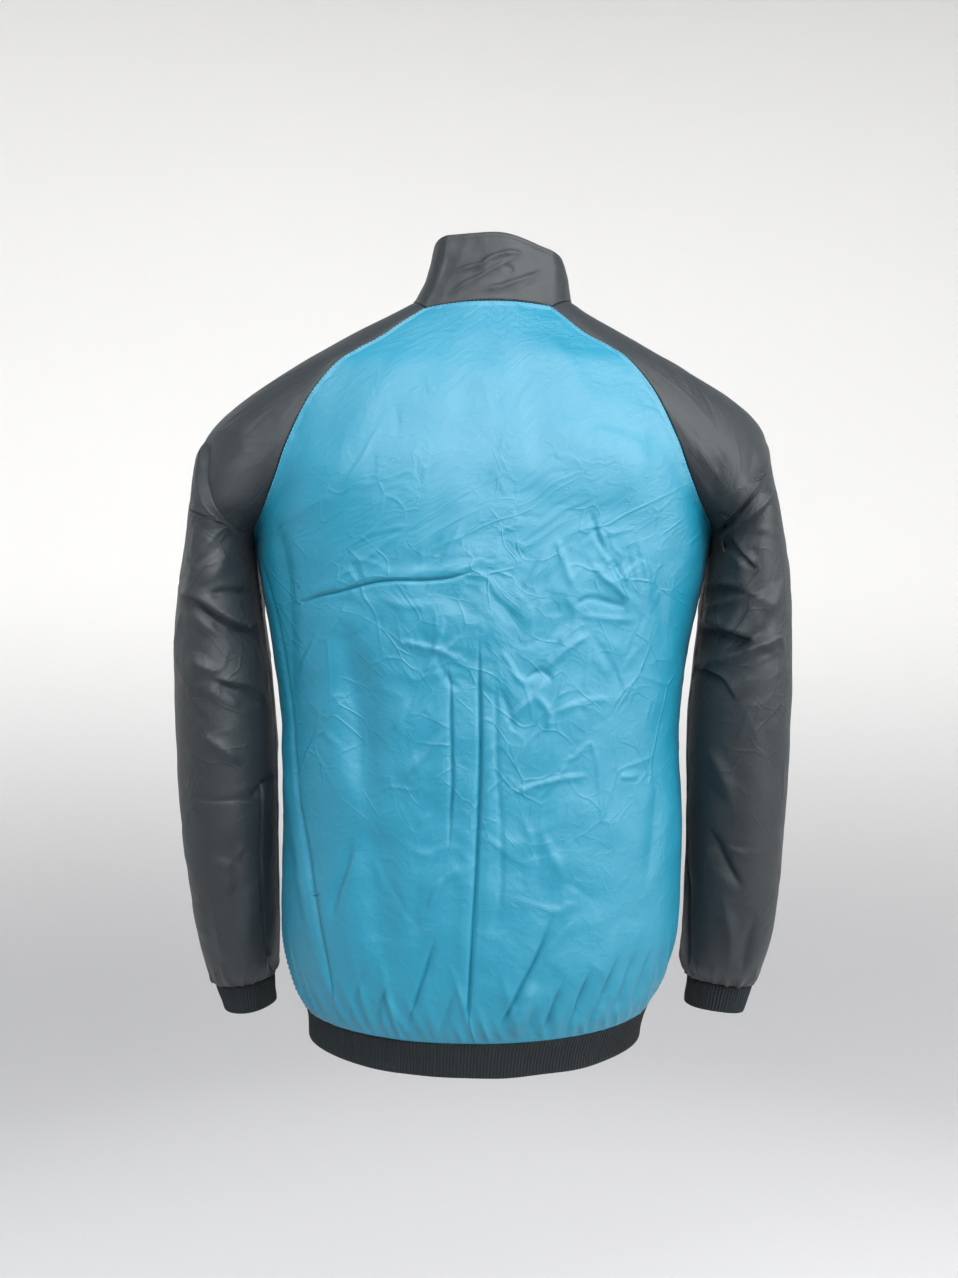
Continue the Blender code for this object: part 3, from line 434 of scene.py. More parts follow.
# Patches of small crumples, each an ellipse of the given radii round x and z in millimetres. height is for the
# single kinks in it, and crush for the facets between them.
Crumpled = namedtuple("Crumpled", "piece side x z wide tall count height crush seed")
CRUMPLED = rows_of(
    Crumpled,
    ("back", 1, -75, -300, 90, 110, 36, 0.60, 2.0, 3),
    ("back", 1, 60, -300, 80, 90, 22, 0.55, 1.6, 5),
    ("back", 1, 0, -430, 150, 120, 26, 0.60, 1.1, 8),
    ("back", 1, 0, -180, 150, 110, 30, 0.40, 0.35, 13),
    ("back", 1, -10, -570, 140, 90, 26, 0.60, 0.6, 22),
    ("front_left", -1, 110, -320, 90, 160, 46, 0.70, 1.0, 34),
    ("front_left", -1, 100, -560, 90, 110, 24, 0.70, 0.7, 35),
    ("front_right", -1, -110, -320, 90, 160, 46, 0.70, 1.0, 55),
    ("front_right", -1, -100, -560, 90, 110, 24, 0.70, 0.7, 56),
    ("sleeve_left", 1, 255, -300, 50, 120, 24, 0.80, 1.4, 61),
    ("sleeve_left", 1, 255, -520, 50, 130, 20, 0.70, 0.8, 62),
    ("sleeve_left", -1, 255, -380, 50, 240, 40, 0.80, 1.0, 63),
    ("sleeve_right", 1, -250, -280, 50, 100, 30, 0.90, 1.6, 71),
    ("sleeve_right", 1, -255, -500, 50, 140, 22, 0.70, 0.9, 72),
    ("sleeve_right", -1, -255, -380, 50, 240, 40, 0.80, 1.0, 73),
    ("sleeve_left", 1, 215, -110, 75, 80, 10, 0.50, 0.6, 65),
    ("sleeve_right", 1, -215, -110, 75, 80, 12, 0.60, 0.8, 75),
    ("sleeve_left", -1, 215, -110, 75, 80, 10, 0.50, 0.6, 66),
    ("sleeve_right", -1, -215, -110, 75, 80, 10, 0.50, 0.6, 76),
    ("collar", 1, 0, 34, 80, 34, 14, 0.25, 0.5, 81),
    ("collar", -1, 0, 10, 80, 34, 12, 0.25, 0.5, 82),
)

# Small folds where the cloth is drawn into a rib knit: how far apart they start, and their greatest height
# and length up the cloth
Gathers = namedtuple("Gathers", "piece spacing height length slant seed")
GATHERS = rows_of(
    Gathers,
    ("back", 0.0095, 0.0032, 0.105, -0.38, 4),
    ("front_left", 0.0115, 0.0032, 0.075, 0.25, 6),
    ("front_right", 0.0115, 0.0032, 0.075, -0.25, 7),
    ("sleeve_left", 0.0085, 0.0042, 0.060, 0.12, 9),
    ("sleeve_right", 0.0085, 0.0042, 0.060, -0.12, 11),
)

# ---------------------------------------------------------------- curves and spacing


def smooth(at, known, values):
    """Values at the given places, on a cubic curve through the known ones with slopes from their neighbours."""
    at, known, values = (np.asarray(x, float) for x in (at, known, values))
    slopes = np.gradient(values, known, axis=0)
    i = np.clip(np.searchsorted(known, at, side="right") - 1, 0, len(known) - 2)
    step = known[i + 1] - known[i]
    t = (at - known[i]) / step
    if values.ndim > 1:
        t, step = t[:, None], step[:, None]
    return (
        (1 + 2 * t) * (1 - t) ** 2 * values[i]
        + t * (1 - t) ** 2 * step * slopes[i]
        + t * t * (3 - 2 * t) * values[i + 1]
        + t * t * (t - 1) * step * slopes[i + 1]
    )


def smoothstep(value, low, high):
    share = np.clip((value - low) / (high - low), 0, 1)
    return share * share * (3 - 2 * share)


def column_at(table, name, z):
    """A named column of a table that is ordered by z, at the given heights."""
    return smooth(z, [row.z for row in table], [getattr(row, name) for row in table])


def length_along(line):
    """The distance from the start of a line to each of its points."""
    return np.concatenate([[0], np.cumsum(np.linalg.norm(np.diff(line, axis=0), axis=-1))])


def resampled(line, count):
    """That many points, spaced evenly along a line of points."""
    along = length_along(line)
    wanted = np.linspace(0, along[-1], count)
    return np.stack([np.interp(wanted, along, column) for column in line.T], axis=-1)


def steps(length, gaps, low=True, high=True):
    """Places along a length: that many even gaps, and three closer points at each end that is sewn."""
    edge = np.array(EDGE)
    start, end = (edge[-1] if low else 0.0), (length - edge[-1] if high else length)
    places = np.linspace(start, end, gaps + 1)
    if low:
        places = np.concatenate([edge[:-1], places])
    if high:
        places = np.concatenate([places, length - edge[-2::-1]])
    return places


def gaps_in(length, pitch):
    """How many gaps of about the pitch fit in a length, as a multiple of what the inside layer leaves out."""
    return COARSER * math.ceil(length / pitch / COARSER)


# ---------------------------------------------------------------- sheets of points on the smooth form
#
# Rows go up. Columns go anticlockwise as seen from above, which makes every sheet face outwards.


def section_at(levels):
    """The sleeve table at fractional row numbers, as a dict of named columns."""
    rows = smooth(levels, np.arange(len(SLEEVE)), np.array(SLEEVE, float))
    columns = dict(zip(SleeveSection._fields, rows.T))
    columns["opening"] = np.minimum(columns["opening"], 180.0)
    columns["opening"][np.asarray(levels) <= ARMPIT_ROW] = 180.0
    return columns


def levels_between(first, last, low, high):
    """Fractional rows of the sleeve table, evenly spaced along the sleeve, with closer ones at a sewn end."""
    fine = np.linspace(first, last, 400)
    at = section_at(fine)
    seam = np.stack(
        [at["seam_x"], at["y_mid"] + at["depth"] * np.sin(np.radians(at["opening"])), at["seam_z"]], axis=-1
    )
    along = length_along(seam)
    places = steps(along[-1], gaps_in(along[-1], PITCH), low, high)
    levels = np.interp(places, along, fine)
    levels[0], levels[-1] = first, last
    return levels


def sleeve_sheet(levels, shares):
    """The left sleeve: each row runs from the front seam (share -1) over the ridge to the back seam (share 1)."""
    at = section_at(levels)
    opening = np.radians(at["opening"])[:, None]
    angle = opening * shares[None, :]
    inwards = (1 - np.cos(angle)) / (1 - np.cos(opening))  # 0 on the ridge, 1 at the seam
    front = np.where(angle < 0, np.sin(angle) ** 2, 0)
    across = {k: at[k][:, None] for k in at}
    x = across["ridge_x"] + inwards * (across["seam_x"] - across["ridge_x"])
    y = across["y_mid"] + across["depth"] * np.sin(angle)
    z = across["ridge_z"] + inwards * (across["seam_z"] - across["ridge_z"]) - across["dip"] * front
    return np.stack([x, y, z], axis=-1)


def body_edges(side, arm_levels):
    """The edge of a body panel from hem to neck: its points, the turn there and the centre line's heights.

    side is 1 for the back and -1 for the front.
    """
    height = SLEEVE[ARMPIT_ROW].seam_z - HEM_SEAM_Z
    z = HEM_SEAM_Z + steps(height, gaps_in(height, PITCH), low=True, high=False)[:-1]
    half_width, y = (column_at(BODY_SIDE, name, z) for name in ("half_width", "y"))
    side_z = z + HEM_RISE * (1 - smoothstep(z, HEM_SEAM_Z, -0.500))
    side_seam = np.stack([half_width, y, side_z], axis=-1)
    raglan = sleeve_sheet(arm_levels, np.array([-1.0, 0.0, 1.0]))[:, -1 if side > 0 else 0]
    up = (arm_levels - ARMPIT_ROW) / (NECK_ROW - ARMPIT_ROW)
    bow = BACK_RISE * up**3 if side > 0 else -FRONT_DROP * up**2
    edges = np.concatenate([side_seam, raglan])
    turns = np.concatenate([np.full(len(z), 90.0), section_at(arm_levels)["turn"]])
    centre_z = np.concatenate([z, raglan[:, 2] + bow])
    return edges, turns, centre_z


def row_to_edge(start, edge, turn, side, places):
    """Points from the centre line to the edge, at the given places along the curve.

    In plan the curve leaves the centre line straight across and reaches the edge turned by the given angle.
    """
    across, deep = edge[0] - start[0], abs(start[1] - edge[1])
    angle = math.radians(turn)
    handle = 0.36 * across * math.cos(angle) + 0.62 * deep * math.sin(angle)
    corners = np.array(
        [
            [start[0], start[1]],
            [start[0] + (0.40 + 0.22 * math.sin(angle)) * across, start[1]],
            [edge[0] - handle * math.cos(angle), edge[1] + side * handle * math.sin(angle)],
            [edge[0], edge[1]],
        ]
    )
    t = np.linspace(0, 1, 241)
    weights = np.stack([(1 - t) ** 3, 3 * t * (1 - t) ** 2, 3 * t**2 * (1 - t), t**3], axis=-1)
    plan = weights @ corners
    along = length_along(plan)
    wanted = places(along[-1]) / along[-1]
    x, y = (np.interp(wanted * along[-1], along, plan[:, k]) for k in (0, 1))
    return np.stack([x, y, start[2] + (edge[2] - start[2]) * wanted**2], axis=-1)


def panel_rows(side, table, centre_x, arm_levels, places):
    """Each row of a body panel's half, from the centre line to the edge."""
    edges, turns, centre_z = body_edges(side, arm_levels)
    centre_y = column_at(table, "y", centre_z)
    return np.array(
        [
            row_to_edge((centre_x, y, z), edge, turn, side, places)
            for edge, turn, y, z in zip(edges, turns, centre_y, centre_z)
        ]
    )


def back_sheet(arm_levels):
    """The back panel, each row from the wearer's left edge to the right one."""
    gaps = gaps_in(0.262, PITCH)
    half = panel_rows(1, BACK_LINE, 0.0, arm_levels, lambda length: steps(length, gaps, low=False))
    return np.concatenate([half[:, ::-1], mirrored(half[:, ::-1])[:, 1:]], axis=1)


def front_sheet(arm_levels):
    """The left front, each row from the zip to the side or raglan seam."""
    gaps = gaps_in(0.262, 1.15 * PITCH)
    return panel_rows(-1, FRONT_LINE, ZIP_EDGE, arm_levels, lambda length: steps(length, gaps))


def evened(sheet):
    """A body panel with the bend that its side edge has at the armpit spread over the cloth inside it."""
    across, _ = cloth_places(sheet)
    soft = sheet.copy()
    for _ in range(900):
        soft[1:-1] += 0.25 * (soft[2:] + soft[:-2] - 2 * soft[1:-1])
    inside = smoothstep(np.minimum(across, across[:, -1:] - across), 0.0, 0.022)
    level = np.exp(-(((sheet[..., 2] - SLEEVE[ARMPIT_ROW].seam_z) / 0.060) ** 2))
    return sheet + (inside * level)[..., None] * (soft - sheet)


def mirrored(sheet):
    """The sheet on the wearer's other side, its columns reversed so that it still faces outwards."""
    return sheet[:, ::-1] * (-1, 1, 1)


def right_round(front_row, back_row, sleeve_row=None):
    """One row right round the jacket, from the left side of the zip to its right side."""
    left = front_row if sleeve_row is None else np.concatenate([front_row, sleeve_row[1:]])
    return np.concatenate([left, back_row[1:-1], left[::-1] * (-1, 1, 1)])


def near_zip(ring):
    """How far each point of a ring belongs to the placket beside the zip, from 0 to 1."""
    at_front = ring[:, 1] < ring[:, 1].mean()
    return at_front * (1 - smoothstep(np.abs(ring[:, 0]), ZIP_EDGE + PLACKET, ZIP_EDGE + 2.5 * PLACKET))


def band_sheet(seam_ring, rows):
    """The hem band, which draws in a little below the seam."""
    below = seam_ring * (0.955, 0.955, 1.0)
    below[:, 0] += near_zip(seam_ring) * (seam_ring - below)[:, 0]
    below[:, 2] -= BAND_HEIGHT
    share = np.linspace(1, 0, rows)[:, None, None]
    drawn_in = np.concatenate([1 - (1 - share) ** 2, 1 - (1 - share) ** 2, share], axis=2)
    return seam_ring + (below - seam_ring) * drawn_in


def collar_sheet(neck_ring, rows):
    """The stand collar, which leans in towards the neck."""
    y = neck_ring[:, 1]
    place = (y - y.min()) / (y.max() - y.min())  # 0 at the zip, 1 at the centre of the back
    top = neck_ring * (0.84, 0.94, 1.0) + (0.0, -0.004, 0.0)
    top[:, 2] = smooth(place, [row.place for row in COLLAR], [row.z for row in COLLAR])
    top[:, 0] += near_zip(neck_ring) * (neck_ring - top)[:, 0]
    share = steps(COLLAR_HEIGHT, rows, low=True, high=False)[:, None, None] / COLLAR_HEIGHT
    early = share + 0.35 * share * (1 - share)
    return neck_ring + (top - neck_ring) * np.concatenate([early, early, share], axis=2)


def cuff_sheet(seam_ring, rows):
    """The left cuff, which narrows towards the wrist and points the way the forearm does."""
    centre = seam_ring[:-1].mean(axis=0)
    forearm = np.array(FOREARM) / np.linalg.norm(FOREARM)
    share = np.linspace(1, 0, rows)[:, None, None]
    narrow = 1 - CUFF_NARROWING * share
    return centre + (seam_ring - centre) * narrow + forearm * share * CUFF_HEIGHT


def posed(points):
    """The points moved with the wearer's stance. The zip stays in the middle."""
    x, y, z = (points[..., k] for k in range(3))
    shifts = smooth(z.ravel(), [row.z for row in STANCE], [(row.body, row.arms) for row in STANCE])
    body, arms = shifts.T.reshape(2, *z.shape)
    on_arm = smoothstep(np.abs(x), 0.195, 0.250)
    sideways = (body + (arms - body) * on_arm) * smoothstep(y, -0.066, 0.0)
    fall = SHOULDER_TILT * x * smoothstep(z, -0.40, -0.10)
    return np.stack([x + sideways, y, z - fall], axis=-1)


def seam_index(sheets):
    """For each sheet the number of each of its points. Points that pieces share have the same number."""
    points = np.concatenate([sheet.reshape(-1, 3) for sheet in sheets.values()])
    keys = np.round(points * 1e6).astype(np.int64) + 2**20
    _, number = np.unique((keys[:, 0] << 42) + (keys[:, 1] << 21) + keys[:, 2], return_inverse=True)
    numbers, first = {}, 0
    for name, sheet in sheets.items():
        count = sheet.shape[0] * sheet.shape[1]
        numbers[name] = number.reshape(-1)[first : first + count].reshape(sheet.shape[:2])
        first += count
    return numbers, number.max() + 1


def shared_normals(sheets):
    """The outward normal at each point of each sheet, the same on both sides of a seam."""
    numbers, count = seam_index(sheets)
    total = np.zeros((count, 3))
    for name, sheet in sheets.items():
        facing = np.cross(sheet[1:, 1:] - sheet[:-1, :-1], sheet[1:, :-1] - sheet[:-1, 1:])
        size = np.linalg.norm(facing, axis=-1, keepdims=True)
        facing = facing / np.maximum(size, 1e-12) * np.sqrt(size)
        at = numbers[name]
        for corner in (at[:-1, :-1], at[:-1, 1:], at[1:, 1:], at[1:, :-1]):
            for axis in range(3):
                total[:, axis] += np.bincount(corner.ravel(), facing[..., axis].ravel(), count)
    total /= np.maximum(np.linalg.norm(total, axis=1), 1e-12)[:, None]
    return {name: total[numbers[name]] for name in sheets}


def wall_normals(sheets):
    """The direction out of each wall: shared across a seam, but for the tight crotch under the arm."""
    shared = shared_normals(sheets)
    arms = {name: sheet for name, sheet in sheets.items() if name.startswith("sleeve")}
    body = {name: sheet for name, sheet in sheets.items() if name not in arms}
    for name, own in (shared_normals(arms) | shared_normals(body)).items():
        apart = 1 - smoothstep((shared[name] * own).sum(axis=-1, keepdims=True), 0.3, 0.8)
        both = shared[name] * (1 - apart) + own * apart
        shared[name] = both / np.linalg.norm(both, axis=-1, keepdims=True)
    return shared


# ---------------------------------------------------------------- relief: folds, gathers, crumples and seams


def cloth_places(sheet):
    """How far each point of a sheet lies across and along the cloth, in metres, from its first column and row."""
    across = np.linalg.norm(np.diff(sheet, axis=1), axis=-1).cumsum(axis=1)
    along = np.linalg.norm(np.diff(sheet, axis=0), axis=-1).cumsum(axis=0)
    return np.pad(across, ((0, 0), (1, 0))), np.pad(along, ((1, 0), (0, 0)))


def from_edges(sheet, sides):
    """The distance of each point from the nearest of the named edges of its sheet."""
    across, along = cloth_places(sheet)
    distance = {
        "left": across,
        "right": across[:, -1:] - across,
        "low": along,
        "high": along[-1:] - along,
    }
    return np.min([distance[side] for side in sides], axis=0) if sides else np.full(across.shape, 1.0)


def rounded(line, each=8):
    """A smooth curve through a line's points, as a denser line."""
    line = np.array(line, float)
    return smooth(np.linspace(0, len(line) - 1, each * (len(line) - 1) + 1), np.arange(len(line)), line)


def profile(distance, half_width, sharp):
    """The cross-section of a fold, 1 on its line: a knife edge where sharp is 1, a soft roll where it is 0."""
    t = distance / half_width
    return sharp * np.clip(1 - t / 1.5, 0, 1) ** 2.3 + (1 - sharp) * np.exp(-(t**2) * 1.3)


def drawn_to_creases(name, sheet):
    """The sheet with its rows or columns drawn together along its sharpest creases, which keeps them crisp."""
    for crease in (c for c in CREASES if c.piece == name and c.sharp >= 1.0 and abs(c.height) >= SHARPEST):
        line = rounded(crease.line) / 1000
        upright = np.ptp(line[:, 1]) > np.ptp(line[:, 0])
        grid = sheet if upright else np.swapaxes(sheet, 0, 1)
        over, beside = (2, 0) if upright else (0, 2)  # the coordinate along the line and the one across it
        line = line[np.argsort(line[:, over // 2])]
        first, last = line[0, over // 2], line[-1, over // 2]
        place, fade = np.full(len(grid), np.nan), np.zeros(len(grid))
        for k, row in enumerate(grid):
            gap = row[:, beside] - np.interp(row[:, over], line[:, over // 2], line[:, beside // 2])
            turn = np.flatnonzero(
                (gap[1:] * gap[:-1] <= 0) & (crease.side * (row[1:, 1] - row[:, 1].mean()) > 0)
            )
            if len(turn):
                j = turn[0]
                place[k] = j + gap[j] / (gap[j] - gap[j + 1])
                at = row[j, over]
                fade[k] = smoothstep(at, first - 0.022, first) * (1 - smoothstep(at, last, last + 0.022))
        known = ~np.isnan(place) & (fade > 0)
        middle = round((place[known].min() + place[known].max()) / 2)
        shift = np.where(known, np.nan_to_num(place) - middle, 0)
        room = min(middle, grid.shape[1] - 1 - middle)
        if room < 5:
            continue
        fade *= 1 - smoothstep(np.abs(shift), 0.45 * room, 0.60 * room)
        shift *= fade
        reach = max(9.0, 2.3 * np.abs(shift).max())
        before, after = min(reach, middle), min(reach, grid.shape[1] - 1 - middle)
        offset = np.arange(grid.shape[1]) - middle
        moved = shift[:, None] * np.clip(1 - (offset / np.where(offset < 0, before, after)) ** 2, 0, 1) ** 2
        closer = -0.5 * fade[:, None] * offset * np.exp(-((offset / 3) ** 2))
        at = np.clip(np.arange(grid.shape[1]) + moved + closer, 0, grid.shape[1] - 1)
        j = np.minimum(at.astype(int), grid.shape[1] - 2)
        i, part = np.arange(len(grid))[:, None], (at - j)[..., None]
        grid = grid[i, j] * (1 - part) + grid[i, j + 1] * part
        sheet = grid if upright else np.swapaxes(grid, 0, 1)
    return sheet


def crease_height(name, points, facing):
    """How far the listed creases move the points of a piece out along their normals."""
    height = np.zeros(points.shape[:2])
    for crease in (c for c in CREASES if c.piece == name):
        line = rounded(crease.line) / 1000
        left, right = crease.left / 1000, crease.right / 1000
        margin = (4.0 if crease.sharp >= LAPPED else 1.8) * max(left, right)
        low, high = line.min(axis=0) - margin, line.max(axis=0) + margin
        x, z = points[..., 0], points[..., 2]
        near = (x > low[0]) & (x < high[0]) & (z > low[1]) & (z < high[1]) & (crease.side * facing[..., 1] > -0.1)
        if not near.any():
            continue
        x, z, turned = x[near], z[near], facing[..., 1][near]
        along = length_along(line)
        nearest, offset, place = np.full(x.shape, 9.0), np.zeros(x.shape), np.zeros(x.shape)
        for k, ((x0, z0), (x1, z1)) in enumerate(zip(line, line[1:])):
            length = math.hypot(x1 - x0, z1 - z0)
            ux, uz = (x1 - x0) / length, (z1 - z0) / length
            t = np.clip((x - x0) * ux + (z - z0) * uz, 0, length)
            distance = np.hypot(x - x0 - t * ux, z - z0 - t * uz)
            closer = distance < nearest
            nearest[closer] = distance[closer]
            offset[closer] = ((x - x0) * uz - (z - z0) * ux)[closer] * crease.side
            place[closer] = (along[k] + t)[closer] / along[-1]
        half_width = np.where(offset > 0, left, right)
        fade = smoothstep(place, -0.02, crease.reach) * (1 - smoothstep(place, 1 - crease.reach, 1.02))
        seen = smoothstep(crease.side * turned, 0.0, 0.35)
        width = half_width * (0.55 + 0.45 * fade)
        if crease.sharp >= LAPPED:
            drop = 0.0011 + 0.0024 * (crease.sharp - LAPPED) * np.sin(math.pi * np.clip(place, 0, 1))
            shape = np.clip(offset / drop, -1, 1) * np.exp(-np.maximum(nearest - drop, 0) / width)
        else:
            shape = (1 + 0.6 * crease.sharp) * profile(nearest, width, crease.sharp)
        height[near] += crease.height / 1000 * fade * seen * shape
    return height


def facets(across, along, cell, seed):
    """Crushed cloth: flat three-sided facets about a cell wide, whose corners stand at heights from -1 to 1."""
    rng = np.random.default_rng(seed)
    columns = np.arange(across.min() // cell - 2, across.max() // cell + 3)
    rows = np.arange(along.min() // cell - 2, along.max() // cell + 3)
    corners = np.stack(np.meshgrid(columns, rows), axis=-1).reshape(-1, 2)
    corners = (corners + rng.uniform(0.0, 1.0, corners.shape)) * cell
    tops = rng.uniform(-1.0, 1.0, len(corners))
    made = delaunay_2d_cdt([Vector(corner) for corner in corners], [], [], 0, 1e-7)
    from_corner = [came[0] for came in made[3]]
    height = np.zeros(across.shape)
    for face in made[2]:
        (x0, y0), (x1, y1), (x2, y2) = [made[0][k] for k in face]
        top = [tops[from_corner[k]] for k in face]
        beside = (across >= min(x0, x1, x2)) & (across <= max(x0, x1, x2))
        near = np.flatnonzero(beside & (along >= min(y0, y1, y2)) & (along <= max(y0, y1, y2)))
        twice = (x1 - x0) * (y2 - y0) - (x2 - x0) * (y1 - y0)
        if not len(near) or abs(twice) < 1e-12:
            continue
        dx, dy = across[near] - x0, along[near] - y0
        one, two = (dx * (y2 - y0) - dy * (x2 - x0)) / twice, (dy * (x1 - x0) - dx * (y1 - y0)) / twice
        within = (one >= -1e-6) & (two >= -1e-6) & (one + two <= 1 + 1e-6)
        height[near[within]] = (top[0] + (top[1] - top[0]) * one + (top[2] - top[0]) * two)[within]
    return height


# The facets of crushed cloth, from broad to fine: their size, their share of the height and their own seed
CRUSHED_FACETS = ((0.036, 1.0, 0), (0.020, 0.6, 100), (0.011, 0.25, 200))


def crumple_height(name, points, facing, across, along):
    """Many small straight kinks and crushed facets, in the listed patches."""
    height = np.zeros(points.shape[:2])
    for patch in (p for p in CRUMPLED if p.piece == name):
        rng = np.random.default_rng(patch.seed)
        x, z = points[..., 0] * 1000, points[..., 2] * 1000
        inside = ((x - patch.x) / patch.wide) ** 2 + ((z - patch.z) / patch.tall) ** 2
        inside = np.where(patch.side * facing[..., 1] > 0.15, inside, 9.0)
        weight = 1 - smoothstep(inside, 0.5, 1.3)
        places = np.argwhere(inside < 1)
        if not len(places):
            continue
        u, v = across[weight > 0], along[weight > 0]
        crushed = sum(share * facets(u, v, size, patch.seed + more) for size, share, more in CRUSHED_FACETS)
        uneven = 0.35 + 0.65 * smoothstep(waves(points, patch.seed, 0.09), -0.5, 0.9)
        height[weight > 0] += patch.crush / 1000 * (weight * uneven)[weight > 0] * crushed
        for _ in range(patch.count):
            i, j = places[rng.integers(len(places))]
            heading = rng.normal(0, 0.9) + (0 if rng.random() < 0.6 else math.pi / 2)
            half_length, half_width = rng.uniform(0.012, 0.036), rng.uniform(0.0026, 0.0075)
            size = rng.uniform(0.4, 1.0) * rng.choice([1.0, 1.0, -0.8]) * patch.height / 600
            u, v = across - across[i, j], along - along[i, j]
            near = (np.abs(u) < 0.06) & (np.abs(v) < 0.06)
            s = u[near] * math.cos(heading) + v[near] * math.sin(heading)
            d = v[near] * math.cos(heading) - u[near] * math.sin(heading) + 2.0 * s**2
            skew = np.where(d > 0, 1.0, 1.9)
            kink = np.clip(1 - np.abs(d) / (half_width * skew), 0, 1) ** 1.6
            height[near] += size * weight[near] * kink * (1 - smoothstep(np.abs(s) / half_length, 0.3, 1.0))
    return height


def gather_height(name, across, along):
    """Small upright folds that run up from the lower edge, where the cloth is drawn into a rib knit."""
    height = np.zeros(across.shape)
    for gathers in (g for g in GATHERS if g.piece == name):
        rng = np.random.default_rng(gathers.seed)
        place, width = 0.0, across[0, -1]
        while place < width:
            place += gathers.spacing * rng.uniform(0.6, 1.6)
            length = gathers.length * rng.uniform(0.3, 1.0) ** 1.3
            size = gathers.height * rng.uniform(0.45, 1.0)
            half_width = gathers.spacing * rng.uniform(0.26, 0.46)
            slant = gathers.slant + rng.normal(0, 0.15)
            offset = across - place * across[:, -1:] / width - slant * along
            up = (
                0.4 + 0.6 * smoothstep(along, 0, 0.2 * length)
            ) * (1 - smoothstep(along, 0.25 * length, length))
            spread = half_width * (1 + 0.8 * along / length)
            near = (along < length) & (np.abs(offset) < 2 * spread)
            height[near] += size * up[near] * profile(np.abs(offset[near]), spread[near], 0.7)
    return height


def waves(points, seed, size):
    """A smooth uneven swell over the given points, from about -1 to 1."""
    rng = np.random.default_rng(seed)
    total = np.zeros(points.shape[:2])
    for _ in range(7):
        way = rng.normal(size=3)
        way /= np.linalg.norm(way)
        total += np.sin(points @ way * 2 * math.pi / (size * rng.uniform(0.7, 1.5)) + rng.uniform(0, 6.28))
    return total / 3.2


def groove(distance, lip):
    """The relief beside a seam: the cloth dips into it, and a folded edge stands a little proud."""
    dip = -0.0009 * (1 - smoothstep(distance, 0.0, 0.0013))
    return dip + lip * smoothstep(distance, 0.0004, 0.0015) * (1 - smoothstep(distance, 0.0026, 0.0060))


# ---------------------------------------------------------------- from sheets to meshes


def lowest_around(height, reach):
    """For each point the least height of the points around it, up to the reach in rows and in columns."""
    for axis in (0, 1):
        lowest = height.copy()
        for k in range(1, reach + 1):
            ahead, behind = np.roll(height, -k, axis), np.roll(height, k, axis)
            lowest = np.minimum(lowest, np.minimum(ahead, behind))
        height = lowest
    return height


def thinned(sheet):
    return sheet[::COARSER, ::COARSER]


